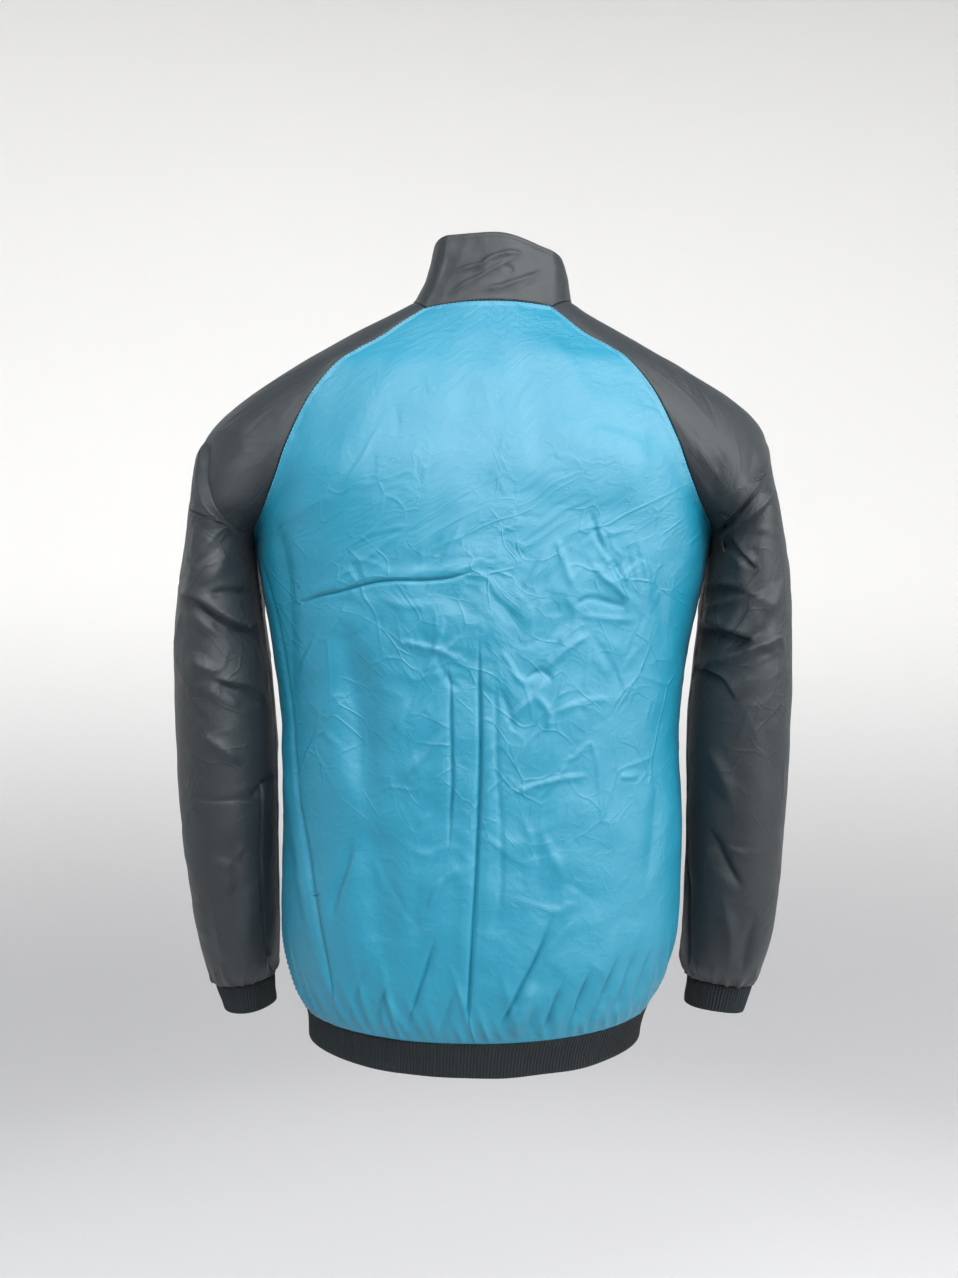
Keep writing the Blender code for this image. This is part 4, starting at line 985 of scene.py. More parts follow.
def shell_mesh(name, outside, inside, places, ring=0, folded=()):
    """A closed mesh of cloth: its fine outside layer, its coarser inside one and the rim between them.

    places are each outside point's distances across and along the cloth, which the weave follows. In the first
    ring rows the cloth is a tube. Along the folded edges the rim is a rounded turn of the cloth.
    """
    bm = bmesh.new()
    uv = bm.loops.layers.uv.new("cloth")
    rows, columns = outside.shape[:2]
    n = COARSER

    def layer(points, closed_rows):
        grid = [[bm.verts.new(point) for point in row[:-1]] for row in points]
        for i, row in enumerate(grid):
            row.append(row[0] if i < closed_rows else bm.verts.new(points[i, -1]))
        return grid

    out = layer(outside, ring)
    inn = layer(inside, (ring + n - 1) // n)
    across, along = places

    def face(verts, spots):
        made = bm.faces.new(verts)
        made.smooth = True
        for loop, (i, j) in zip(made.loops, spots):
            loop[uv].uv = (across[i, j], along[i, j])

    for i in range(rows - 1):
        for j in range(columns - 1):
            spots = ((i, j), (i, j + 1), (i + 1, j + 1), (i + 1, j))
            face([out[a][b] for a, b in spots], spots)
    for i in range(len(inn) - 1):
        for j in range(len(inn[0]) - 1):
            spots = ((i, j), (i + 1, j), (i + 1, j + 1), (i, j + 1))
            face([inn[a][b] for a, b in spots], [(a * n, b * n) for a, b in spots])

    def rim(edge, spots, inner, beyond, round_turn):
        """The strip between one edge of the outside layer and the same edge of the inside one."""
        if round_turn:
            turn = []
            for k, vert in enumerate(edge):
                across_wall = np.array(inner[min(round(k / n), len(inner) - 1)].co) - np.array(vert.co)
                away = beyond[k] / np.linalg.norm(beyond[k]) * np.linalg.norm(across_wall) * 0.42
                turn.append(bm.verts.new(np.array(vert.co) + 0.5 * across_wall + away))
            if edge[0] is edge[-1]:
                bm.verts.remove(turn[-1])
                turn[-1] = turn[0]
            for k in range(len(edge) - 1):
                face(
                    [edge[k + 1], edge[k], turn[k], turn[k + 1]],
                    [spots[k + 1], spots[k], spots[k], spots[k + 1]]
                )
            if edge[0] is not edge[-1]:
                face([inner[0], turn[0], edge[0]], [spots[0]] * 3)
                face([edge[-1], turn[-1], inner[-1]], [spots[-1]] * 3)
            edge = turn
        for k in range(len(inner) - 1):
            strip = list(range((k + 1) * n, k * n - 1, -1))
            face(
                [edge[q] for q in strip] + [inner[k], inner[k + 1]],
                [spots[q] for q in strip] + [spots[k * n], spots[(k + 1) * n]]
            )

    def column(grid, j, first=0):
        return [row[j] for row in grid[first:]]

    top, last = rows - 1, columns - 1
    low = [(0, j) for j in range(columns)]
    rim(out[0], low, inn[0], outside[0] - outside[1], "low" in folded)
    high = [(top, j) for j in range(last, -1, -1)]
    rim(out[-1][::-1], high, inn[-1][::-1], (outside[-1] - outside[-2])[::-1], "high" in folded)
    if ring < rows:
        first = max(ring - 1, 0)
        left = [(i, 0) for i in range(top, first - 1, -1)]
        rim(
            column(out, 0, first)[::-1], left, column(inn, 0, first // n)[::-1],
            (outside[:, 0] - outside[:, 1])[first:][::-1], "left" in folded
        )
        right = [(i, last) for i in range(first, rows)]
        rim(
            column(out, -1, first), right, column(inn, -1, first // n),
            (outside[:, -1] - outside[:, -2])[first:], "right" in folded
        )
    mesh = bpy.data.meshes.new(name)
    bm.to_mesh(mesh)
    bm.free()
    return mesh


def cloth_shell(name, sheet, facing, height, wall, ring=0, folded=()):
    """A piece's mesh from its smooth sheet, the direction out of it and the relief's height."""
    outside = sheet + facing * height[..., None]
    floor = np.minimum(lowest_around(height, COARSER), 0.0005)
    floor = np.where(from_edges(sheet, ("low", "high", "left", "right")) < 0.0001, height, floor)
    inside = thinned(sheet + facing * (floor - wall)[..., None])
    across, along = cloth_places(sheet)
    # the rib knits' cloth places are shifted half a rib, so that their material's painted groove shade falls in the
    # ribs' grooves
    if name.startswith(("hem", "cuff")):
        across = np.tile(across[-1] - 0.5 * RIB_PITCH, (len(sheet), 1))
    return shell_mesh(name, outside, inside, (across, along), ring, folded), outside


def joined_blocks(name, blocks):
    """One mesh of many small solids, each a list of points and a list of faces."""
    points, faces, first = [], [], 0
    for block_points, block_faces in blocks:
        points.extend(block_points)
        faces.extend([tuple(first + k for k in one) for one in block_faces])
        first += len(block_points)
    mesh = bpy.data.meshes.new(name)
    mesh.from_pydata([tuple(point) for point in points], [], faces)
    mesh.polygons.foreach_set("use_smooth", [True] * len(faces))
    mesh.update()
    return mesh


# A stitch from end to end: the place along it, its thickness there and how far it lifts off the cloth
THREAD_BEAD = ((0.0, 0.25, -0.6), (0.18, 0.85, 0.1), (0.5, 1.0, 0.35), (0.82, 0.85, 0.1), (1.0, 0.25, -0.6))


def thread(start, end, out, thick):
    """One stitch: a bead of thread that dives into the cloth at both ends."""
    along = end - start
    side = np.cross(along / np.linalg.norm(along), out)
    points = []
    for share, size, lift in THREAD_BEAD:
        middle = start + along * share + out * lift * thick
        for turn in range(5):
            angle = 2 * math.pi * turn / 5
            points.append(middle + (side * math.cos(angle) + out * math.sin(angle)) * size * thick)
    faces = [
        (5 * r + k, 5 * r + (k + 1) % 5, 5 * r + 5 + (k + 1) % 5, 5 * r + 5 + k)
        for r in range(4)
        for k in range(5)
    ]
    faces += [(4, 3, 2, 1, 0), (20, 21, 22, 23, 24)]
    return points, faces


def stitches(line, out, length=0.0030, gap=0.0009, thick=0.00030):
    """A row of stitches along a line on the cloth. out is the direction out of the cloth at each of its points."""
    along = length_along(line)
    count = int(along[-1] / (length + gap))
    made = []
    for k in range(count):
        ends = (np.array([0, length]) + k * (length + gap) + gap / 2) * along[-1] / (count * (length + gap))
        start, end = (np.array([np.interp(place, along, axis) for axis in line.T]) for place in ends)
        up = np.array([np.interp(ends.mean(), along, axis) for axis in out.T])
        made.append(thread(start, end, up / np.linalg.norm(up), thick))
    return made


def chamfered(low, high, cut, frame_axes=np.eye(3), origin=(0, 0, 0)):
    """A block with its edges cut off, from two opposite corners in the given axes."""
    low, high = np.array(low, float), np.array(high, float)
    bm = bmesh.new()
    bmesh.ops.create_cube(bm, size=1.0)
    for vert in bm.verts:
        vert.co = low + (np.array(vert.co) + 0.5) * (high - low)
    bmesh.ops.bevel(bm, geom=list(bm.edges), offset=cut, segments=2, profile=0.6, affect="EDGES")
    bm.verts.index_update()
    points = [np.array(origin) + np.array(vert.co) @ frame_axes for vert in bm.verts]
    faces = [[vert.index for vert in one.verts] for one in bm.faces]
    bm.free()
    return points, faces


def rounded_plate(outline, hole, thickness, cut):
    """A plate with a rounded outline and maybe a hole, both in x and z, with its edges rounded off."""
    bm = bmesh.new()
    rings = []
    for depth, inset in ((-0.5, 1.0), (-0.5 + cut / thickness, 0.0), (0.5 - cut / thickness, 0.0), (0.5, 1.0)):
        ring = []
        for line, sign in ((outline, 1.0), (hole, -1.0)):
            centre = np.mean(line, axis=0)
            for point in line:
                way = (np.array(point) - centre) / np.linalg.norm(np.array(point) - centre)
                x, z = np.array(point) - way * sign * inset * cut
                ring.append(bm.verts.new((x, depth * thickness, z)))
        rings.append(ring)
    count = len(outline)
    for lower, upper in zip(rings, rings[1:]):
        for k in range(count):
            q = (k + 1) % count
            bm.faces.new((lower[k], lower[q], upper[q], upper[k]))
            bm.faces.new((lower[count + q], lower[count + k], upper[count + k], upper[count + q]))
    for k in range(count):
        q = (k + 1) % count
        bm.faces.new((rings[0][q], rings[0][k], rings[0][count + k], rings[0][count + q]))
        bm.faces.new((rings[-1][k], rings[-1][q], rings[-1][count + q], rings[-1][count + k]))
    bmesh.ops.recalc_face_normals(bm, faces=bm.faces)
    bm.verts.index_update()
    points = [np.array(vert.co) for vert in bm.verts]
    faces = [[vert.index for vert in one.verts] for one in bm.faces]
    bm.free()
    return points, faces


# ---------------------------------------------------------------- shader groups and materials


def new_group(name, inputs, outputs):
    """An empty shader node group with its named sockets. Returns it with its input and output nodes."""
    group = bpy.data.node_groups.new(name, "ShaderNodeTree")
    for label, kind, value in inputs:
        socket = group.interface.new_socket(name=label, in_out="INPUT", socket_type="NodeSocket" + kind)
        if value is not None:
            socket.default_value = value
    for label, kind in outputs:
        group.interface.new_socket(name=label, in_out="OUTPUT", socket_type="NodeSocket" + kind)
    return group, group.nodes.new("NodeGroupInput"), group.nodes.new("NodeGroupOutput")


def put(tree, kind, settings=(), **inputs):
    """A node of that kind. Each input is a value or the socket that feeds it, named with _ for a space."""
    node = tree.nodes.new("ShaderNode" + kind)
    for name, value in dict(settings).items():
        setattr(node, name, value)
    for name, value in inputs.items():
        socket = node.inputs[int(name[1:])] if name[1:].isdigit() else node.inputs[name.replace("_", " ")]
        if isinstance(value, bpy.types.NodeSocket):
            tree.links.new(value, socket)
        else:
            socket.default_value = value
    return node


def calc(tree, operation, first, second=0.0):
    return put(tree, "Math", {"operation": operation}, _0=first, _1=second).outputs[0]


def vector_calc(tree, operation, first, second):
    return put(tree, "VectorMath", {"operation": operation}, _0=first, _1=second).outputs[0]


def mapped(tree, value, low, high, *onto, **settings):
    """A value spread from low..high onto 0..1, or onto the two given values."""
    return put(
        tree, "MapRange", settings, **{f"_{k}": x for k, x in enumerate((value, low, high, *onto))}
    ).outputs[0]


def bump(tree, strength, distance, height, **under):
    """The normal of a relief, on top of the one under it."""
    return put(tree, "Bump", Strength=strength, Distance=distance, Height=height, **under).outputs[0]


def cloth_place(tree):
    return put(tree, "UVMap", {"uv_map": "cloth"}).outputs[0]


def woven_threads():
    """Warp and weft that pass over and under each other, as a height and as a mask of the warp."""
    group, given, result = new_group(
        "Woven threads",
        [("Cloth", "Vector", None), ("Threads per metre", "Float", 1400.0), ("Float", "Float", 0.5)],
        [("Height", "Float"), ("Warp", "Float")],
    )
    at = put(group, "VectorMath", {"operation": "SCALE"}, _0=given.outputs["Cloth"])
    group.links.new(given.outputs["Threads per metre"], at.inputs["Scale"])
    part = put(group, "SeparateXYZ", _0=at.outputs[0])
    turn = [calc(group, "MULTIPLY", part.outputs[k], 2 * math.pi) for k in (0, 1)]
    warp = calc(group, "ABSOLUTE", calc(group, "SINE", turn[0]))
    weft = calc(group, "ABSOLUTE", calc(group, "SINE", turn[1]))
    over = calc(group, "SINE", calc(group, "MULTIPLY", calc(group, "ADD", turn[0], turn[1]), 0.5))
    shown = calc(group, "GREATER_THAN", over, calc(group, "SUBTRACT", 0.0, given.outputs["Float"]))
    height = put(group, "Mix", {"data_type": "FLOAT"}, _0=shown, _2=weft, _3=warp)
    group.links.new(height.outputs[0], result.inputs["Height"])
    group.links.new(shown, result.inputs["Warp"])
    return group


def fine_wrinkles():
    """The faint crinkle of thin pressed cloth: a height with narrow ridges between flatter places."""
    group, given, result = new_group(
        "Fine wrinkles",
        [("Cloth", "Vector", None), ("Size", "Float", 60.0), ("Stretch", "Vector", (1.0, 1.0, 1.0))],
        [("Height", "Float")],
    )
    way = vector_calc(group, "MULTIPLY", given.outputs["Cloth"], given.outputs["Stretch"])
    bent = put(group, "TexNoise", Vector=way, Detail=1.0)
    group.links.new(given.outputs["Size"], bent.inputs["Scale"])
    drift = put(group, "VectorMath", {"operation": "SCALE"}, _0=bent.outputs["Color"], Scale=0.012).outputs[0]
    moved = vector_calc(group, "ADD", way, drift)
    noise = put(group, "TexNoise", Vector=moved, Detail=2.5, Roughness=0.5)
    group.links.new(given.outputs["Size"], noise.inputs["Scale"])
    ridge = calc(group, "ABSOLUTE", calc(group, "SUBTRACT", noise.outputs[0], 0.5))
    sharp = calc(group, "POWER", calc(group, "SUBTRACT", 1.0, calc(group, "MULTIPLY", ridge, 2.0)), 5.0)
    group.links.new(
        calc(group, "ADD", sharp, calc(group, "MULTIPLY", noise.outputs[0], 0.8)), result.inputs["Height"]
    )
    return group


def pressed_creases():
    """The thin straight creases that thin cloth keeps where it was crushed: a height with a narrow ridge on each."""
    group, given, result = new_group(
        "Pressed creases",
        [
            ("Cloth", "Vector", None), ("Size", "Float", 30.0), ("Stretch", "Vector", (1.0, 1.0, 1.0)),
            ("Turn", "Float", 0.0), ("Width", "Float", 0.002)
        ],
        [("Height", "Float")],
    )
    turned = put(
        group, "VectorRotate", {"rotation_type": "Z_AXIS"}, Vector=given.outputs["Cloth"],
        Angle=given.outputs["Turn"]
    ).outputs[0]
    way = vector_calc(group, "MULTIPLY", turned, given.outputs["Stretch"])
    bent = put(group, "TexNoise", Vector=way, Scale=given.outputs["Size"], Detail=0.0)
    drift = put(group, "VectorMath", {"operation": "SCALE"}, _0=bent.outputs["Color"], Scale=0.0025).outputs[0]
    moved = vector_calc(group, "ADD", way, drift)
    cells = put(group, "TexVoronoi", {"feature": "DISTANCE_TO_EDGE"}, Vector=moved, Scale=given.outputs["Size"])
    reach = calc(group, "MULTIPLY", given.outputs["Width"], given.outputs["Size"])
    ridge = put(
        group, "Math", {"operation": "SUBTRACT", "use_clamp": True}, _0=1.0,
        _1=calc(group, "DIVIDE", cells.outputs["Distance"], reach)
    ).outputs[0]
    patches = put(
        group, "TexNoise", Vector=way, Scale=calc(group, "MULTIPLY", given.outputs["Size"], 0.8), Detail=1.0
    )
    shown = mapped(group, patches.outputs[0], 0.44, 0.62)
    group.links.new(calc(group, "MULTIPLY", calc(group, "POWER", ridge, 1.4), shown), result.inputs["Height"])
    return group


def uneven_tone():
    """A colour that drifts a little lighter and darker over the cloth."""
    group, given, result = new_group(
        "Uneven tone",
        [
            ("Cloth", "Vector", None), ("Colour", "Color", (0.5, 0.5, 0.5, 1.0)), ("Amount", "Float", 0.1),
            ("Size", "Float", 8.0)
        ],
        [("Colour", "Color"), ("Drift", "Float")],
    )
    noise = put(group, "TexNoise", Vector=given.outputs["Cloth"], Detail=3.0)
    group.links.new(given.outputs["Size"], noise.inputs["Scale"])
    swing = calc(group, "MULTIPLY", calc(group, "SUBTRACT", noise.outputs[0], 0.5), given.outputs["Amount"])
    bright = calc(group, "ADD", swing, 1.0)
    tone = put(group, "VectorMath", {"operation": "SCALE"}, _0=given.outputs["Colour"])
    group.links.new(bright, tone.inputs["Scale"])
    group.links.new(tone.outputs[0], result.inputs["Colour"])
    group.links.new(noise.outputs[0], result.inputs["Drift"])
    return group


WOVEN, WRINKLES, PRESSED, TONE = woven_threads(), fine_wrinkles(), pressed_creases(), uneven_tone()


def group_node(tree, group, **inputs):
    return put(tree, "Group", {"node_tree": group}, **inputs)


def start_material(name, roughness, **uniform):
    """A new material and its shader, with the values that are the same all over set on it."""
    material = bpy.data.materials.new(name)
    material.use_nodes = True
    tree = material.node_tree
    shader = tree.nodes["Principled BSDF"]
    shader.inputs["Roughness"].default_value = roughness
    for label, value in uniform.items():
        shader.inputs[label.replace("_", " ")].default_value = value
    return material, tree, shader


def satin(name, colour, dark, roughness, specular, threads, wrinkle, pressed, tone=0.10):
    """Smooth filament cloth: fine warp floats, a faint crinkle, pressed creases at middle height, a broad shine."""
    material, tree, shader = start_material(
        name, roughness, Specular_IOR_Level=specular, Sheen_Weight=0.02, Sheen_Roughness=0.45
    )
    cloth = cloth_place(tree)
    weave = group_node(tree, WOVEN, Cloth=cloth, Threads_per_metre=threads, Float=0.55)
    crinkle = group_node(tree, WRINKLES, Cloth=cloth, Size=55.0, Stretch=(1.0, 1.0, 1.0))
    streaks = group_node(tree, WRINKLES, Cloth=cloth, Size=14.0, Stretch=(1.0, 28.0, 1.0))
    drift = group_node(tree, TONE, Cloth=cloth, Colour=(*colour, 1.0), Amount=tone, Size=9.0)
    shade = put(
        tree, "Mix", {"data_type": "RGBA", "blend_type": "MIX"},
        _0=calc(tree, "MULTIPLY", weave.outputs["Warp"], 0.25), _6=drift.outputs["Colour"], _7=(*dark, 1.0)
    )
    tree.links.new(shade.outputs[2], shader.inputs["Base Color"])
    rough = mapped(tree, drift.outputs["Drift"], 0.3, 0.7, roughness - 0.05, roughness + 0.05)
    tree.links.new(rough, shader.inputs["Roughness"])
    fine = bump(tree, 0.35, 0.00012, weave.outputs["Height"])
    streak = bump(tree, 0.18, 0.00018, streaks.outputs["Height"], Normal=fine)
    broad = bump(tree, 1.0, wrinkle, crinkle.outputs["Height"], Normal=streak)
    up = put(tree, "SeparateXYZ", _0=cloth).outputs[1]
    above, below = (mapped(tree, up, low, low + 0.09) for low in (0.16, 0.47))
    crushed = calc(tree, "ADD", calc(tree, "SUBTRACT", above, below), 0.18)
    long = group_node(tree, PRESSED, Cloth=cloth, Size=23.0, Stretch=(1.0, 0.5, 1.0), Turn=0.6, Width=0.0022)
    short = group_node(tree, PRESSED, Cloth=cloth, Size=40.0, Stretch=(1.0, 0.6, 1.0), Turn=-0.9, Width=0.0016)
    lines = calc(tree, "ADD", long.outputs["Height"], calc(tree, "MULTIPLY", short.outputs["Height"], 0.7))
    kept = bump(tree, 1.0, pressed, calc(tree, "MULTIPLY", lines, crushed), Normal=broad)
    tree.links.new(kept, shader.inputs["Normal"])
    return material


def rib_knit(name, colour):
    """Ribbed knit: matt yarn in small stacked loops, with a little fuzz, and painted shade in the grooves between the
    ribs.
    """
    material, tree, shader = start_material(
        name, 0.92, Specular_IOR_Level=0.20, Sheen_Weight=0.05, Sheen_Roughness=0.6
    )
    cloth = cloth_place(tree)
    loops = group_node(tree, WOVEN, Cloth=cloth, Threads_per_metre=420.0, Float=0.0)
    fuzz = group_node(tree, WRINKLES, Cloth=cloth, Size=420.0, Stretch=(1.0, 1.0, 1.0))
    turns = calc(tree, "MULTIPLY", put(tree, "SeparateXYZ", _0=cloth).outputs[0], 2 * math.pi / RIB_PITCH)
    # painted shade: the colour falls to a quarter of the yarn's own in the grooves between the ribs, where shade falls
    ridge = mapped(tree, calc(tree, "COSINE", turns), -0.9, 0.6)
    shade = put(
        tree, "Mix", {"data_type": "RGBA"}, _0=ridge, _6=(*(0.25 * c for c in colour), 1.0), _7=(*colour, 1.0)
    )
    drift = group_node(tree, TONE, Cloth=cloth, Colour=shade.outputs[2], Amount=0.5, Size=160.0)
    tree.links.new(drift.outputs["Colour"], shader.inputs["Base Color"])
    knit = bump(tree, 0.8, 0.00035, loops.outputs["Height"])
    hair = bump(tree, 0.5, 0.00025, fuzz.outputs["Height"], Normal=knit)
    tree.links.new(hair, shader.inputs["Normal"])
    return material


def spun_thread(name, colour):
    """Sewing thread, with the twist of its plies."""
    material, tree, shader = start_material(name, 0.55, Specular_IOR_Level=0.4, Sheen_Weight=0.2)
    place = put(tree, "TexCoord").outputs["Object"]
    drift = group_node(tree, TONE, Cloth=place, Colour=(*colour, 1.0), Amount=0.5, Size=700.0)
    tree.links.new(drift.outputs["Colour"], shader.inputs["Base Color"])
    twist = put(tree, "TexWave", {"bands_direction": "DIAGONAL"}, Vector=place, Scale=420.0, Distortion=1.5)
    relief = bump(tree, 0.6, 0.0001, twist.outputs["Fac"])
    tree.links.new(relief, shader.inputs["Normal"])
    return material


def zip_webbing(name, colour):
    """Woven zip tape, in a tight herringbone."""
    material, tree, shader = start_material(name, 0.82, Specular_IOR_Level=0.3, Sheen_Weight=0.15)
    cloth = cloth_place(tree)
    weave = group_node(tree, WOVEN, Cloth=cloth, Threads_per_metre=900.0, Float=0.3)
    drift = group_node(tree, TONE, Cloth=cloth, Colour=(*colour, 1.0), Amount=0.3, Size=60.0)
    tree.links.new(drift.outputs["Colour"], shader.inputs["Base Color"])
    relief = bump(tree, 0.8, 0.0002, weave.outputs["Height"])
    tree.links.new(relief, shader.inputs["Normal"])
    return material


def enamelled(name, colour, bare, roughness, metallic):
    """Painted or moulded zip hardware, rubbed a little brighter along its edges."""
    material, tree, shader = start_material(name, roughness, Metallic=metallic, Specular_IOR_Level=0.6)
    place = put(tree, "TexCoord").outputs["Object"]
    edges = calc(
        tree, "MULTIPLY", calc(tree, "SUBTRACT", put(tree, "NewGeometry").outputs["Pointiness"], 0.52), 6.0
    )
    scuffs = group_node(tree, TONE, Cloth=place, Colour=(*colour, 1.0), Amount=0.4, Size=500.0)
    rubbed = put(
        tree, "Math", {"operation": "MULTIPLY", "use_clamp": True}, _0=edges, _1=scuffs.outputs["Drift"]
    ).outputs[0]
    mixed = put(tree, "Mix", {"data_type": "RGBA"}, _0=rubbed, _6=scuffs.outputs["Colour"], _7=(*bare, 1.0))
    tree.links.new(mixed.outputs[2], shader.inputs["Base Color"])
    rough = mapped(tree, scuffs.outputs["Drift"], 0.3, 0.7, roughness - 0.08, roughness + 0.08)
    tree.links.new(rough, shader.inputs["Roughness"])
    return material


def studio_paper(name):
    """The pale seamless paper of the studio, with painted shade on the paper behind the camera."""
    material, tree, shader = start_material(name, 0.95, Specular_IOR_Level=0.1)
    place = put(tree, "TexCoord").outputs["Object"]
    part = put(tree, "SeparateXYZ", _0=place)
    wall = mapped(tree, part.outputs[2], FLOOR_Z, 0.0, interpolation_type="SMOOTHSTEP")
    paper = put(
        tree, "Mix", {"data_type": "RGBA"}, _0=wall, _6=(0.45, 0.45, 0.46, 1.0), _7=(0.86, 0.85, 0.835, 1.0)
    )
    # painted shade: the paper behind the camera darkens towards 0.42 grey, so that it throws less light and reflection
    # back onto the jacket
    far = mapped(tree, part.outputs[1], 0.5, 2.2, interpolation_type="SMOOTHSTEP")
    painted_dark_behind_camera = put(tree, "Mix", {"data_type": "RGBA"}, _0=far, _6=paper.outputs[2], _7=(0.42, 0.42, 0.42, 1.0))
    drift = group_node(tree, TONE, Cloth=place, Colour=painted_dark_behind_camera.outputs[2], Amount=0.03, Size=0.8)
    tree.links.new(drift.outputs["Colour"], shader.inputs["Base Color"])
    return material


FINISHES = {
    "blue satin": satin(
        "blue satin", (0.001, 0.162, 0.252), (0.000, 0.131, 0.219), 0.42, 0.62, 1500.0, 0.00020, 0.00045
    ),
    "black satin": satin(
        "black satin", (0.0110, 0.0160, 0.0195), (0.0077, 0.0112, 0.0140), 0.52, 0.44, 1500.0, 0.00014, 0.0004
    ),
    "black rib": rib_knit("black rib", (0.011, 0.017, 0.021)),
    "blue thread": spun_thread("blue thread", (0.10, 0.42, 0.60)),
    "black thread": spun_thread("black thread", (0.030, 0.031, 0.033)),
    "zip tape": zip_webbing("zip tape", (0.020, 0.020, 0.022)),
    "zip teeth": enamelled("zip teeth", (0.022, 0.022, 0.024), (0.10, 0.10, 0.105), 0.38, 0.0),
    "zip metal": enamelled("zip metal", (0.030, 0.030, 0.032), (0.28, 0.28, 0.29), 0.34, 0.7),
}


def add_piece(name, mesh, finish, body="jacket", replaces=()):
    """A piece of the jacket on its body, in its finish, standing for the named nodes of the frame."""
    piece = bpy.data.objects.new(name, mesh)
    bpy.context.scene.collection.objects.link(piece)
    mesh.materials.append(FINISHES[finish])
    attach(piece, body)
    if replaces:
        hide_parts(*replaces)
    return piece


# ---------------------------------------------------------------- the cloth pieces

# Each piece's own size on the smooth form, before any fold: its widest row, its middle column (for the hem band
# the one at its ends) and its area. The rib knits are as worn, stretched by the wearer.
Cut = namedtuple("Cut", "width length area held")
CUTS = {
    "back": Cut(0.571, 0.703, 0.320, "hung"),
    "front_left": Cut(0.298, 0.676, 0.156, "hung"),
    "front_right": Cut(0.298, 0.677, 0.157, "hung"),
    "sleeve_left": Cut(0.426, 0.824, 0.237, "hung"),
    "sleeve_right": Cut(0.444, 0.793, 0.240, "hung"),
    "collar": Cut(0.533, 0.0685, 0.0228, "hung"),
    "hem_band": Cut(0.926, 0.034, 0.0298, "stretched"),
    "cuff_left": Cut(0.196, 0.0302, 0.0056, "stretched"),
    "cuff_right": Cut(0.205, 0.0303, 0.0058, "stretched"),
    "zip_tape_left": Cut(0.0138, 0.737, 0.0101, "hung"),
    "zip_tape_right": Cut(0.0138, 0.737, 0.0101, "hung"),
}
SLEEVE_HALF_ROUND = 0.190  # from the ridge to the seam at the elbow


def line_beside(points, sheet, side, distance):
    """A line on a piece that follows one of its edges, at a distance across the cloth."""
    across, along = cloth_places(sheet)
    if side in ("low", "high"):
        points, across = np.swapaxes(points, 0, 1), along.T
    if side in ("right", "high"):
        points, across = points[:, ::-1], across[:, -1:] - across[:, ::-1]
    return np.array(
        [[np.interp(distance, row, axis) for axis in line[:40].T] for row, line in zip(across[:, :40], points)]
    )


def smooth_sheets():
    """Every piece's sheet on the smooth form, and the number of the sleeve's rows that are rings."""
    arm = levels_between(ARMPIT_ROW, NECK_ROW, low=False, high=True)
    below = levels_between(0, ARMPIT_ROW, low=True, high=False)
    gaps = gaps_in(2 * SLEEVE_HALF_ROUND, 1.1 * PITCH)
    shares = steps(2 * SLEEVE_HALF_ROUND, gaps) / SLEEVE_HALF_ROUND - 1
    sleeve = sleeve_sheet(np.concatenate([below[:-1], arm]), shares)
    back, front = evened(back_sheet(arm)), evened(front_sheet(arm))
    collar = collar_sheet(right_round(front[-1], back[-1], sleeve[-1]), gaps_in(COLLAR_HEIGHT, PITCH))
    rise = np.linspace(0, 1, len(collar))[:, None] ** 2
    collar[..., 2] -= (
        COLLAR_SLUMP * rise * smoothstep(-collar[..., 0], -0.008, 0.080) * smoothstep(collar[..., 1], -0.09, -0.02)
    )
    seam = right_round(front[0], back[0])
    ribs = round(length_along(seam)[-1] / RIB_PITCH)
    band = band_sheet(resampled(seam, RIB_POINTS * ribs + 1), RIB_ROWS)
    band[..., 2] += 0.0016 * waves(band[-1:] * (1, 1, 0), 50, 0.13) * np.linspace(1, 0, RIB_ROWS)[:, None]
    wrist_ribs = round(length_along(sleeve[0])[-1] / RIB_PITCH)
    cuff = cuff_sheet(resampled(sleeve[0], RIB_POINTS * wrist_ribs + 1), RIB_ROWS)
    sheets = {
        "back": back,
        "front_left": front,
        "front_right": mirrored(front),
        "sleeve_left": sleeve,
        "sleeve_right": mirrored(sleeve),
        "collar": collar,
        "hem_band": band,
        "cuff_left": cuff,
        "cuff_right": mirrored(cuff),
    }
    return {name: drawn_to_creases(name, posed(sheet)) for name, sheet in sheets.items()}, len(below)


def shell_relief(name, sheet, facing):
    """Everything that moves a woven piece off the smooth form."""
    across, along = cloth_places(sheet)
    zip_side = {"front_left": "left", "front_right": "right"}.get(name)
    sewn = [side for side in ("left", "right", "high") if side != zip_side]
    from_seam = from_edges(sheet, sewn)
    from_rib = from_edges(sheet, ["low"])
    calm = smoothstep(from_seam, 0.0, 0.007) * smoothstep(from_rib, 0.0, 0.003)
    if zip_side:
        calm *= smoothstep(from_edges(sheet, [zip_side]), 0.4 * PLACKET, 2.2 * PLACKET)
    seed = sorted(CUTS).index(name)
    height = crease_height(name, sheet, facing)
    height += crumple_height(name, sheet, facing, across, along)
    height += gather_height(name, across, along)
    height += 0.0010 * waves(sheet, seed, 0.16) + 0.0004 * waves(sheet, seed + 40, 0.045)
    pucker = 0.0005 * waves(sheet, seed + 80, 0.011) * np.exp(-from_seam / 0.006) * smoothstep(from_seam, 0.001, 0.003)
    lip = 0.0001 if name.startswith("sleeve") else 0.0009
    return height * calm + pucker + groove(from_seam, lip) + groove(from_rib, 0.0002)


def collar_relief(sheet, facing):
    across, along = cloth_places(sheet)
    calm = smoothstep(from_edges(sheet, ["low"]), 0.0, 0.006) * (
        0.35 + 0.65 * smoothstep(from_edges(sheet, ["high"]), 0.0, 0.008)
    )
    calm *= smoothstep(from_edges(sheet, ["left", "right"]), 0.004, 0.020)
    height = crease_height("collar", sheet, facing) + crumple_height("collar", sheet, facing, across, along)
    height += 0.0007 * waves(sheet, 31, 0.060) + 0.0003 * waves(sheet, 32, 0.018)
    return height * calm + groove(from_edges(sheet, ["low"]), 0.0003)


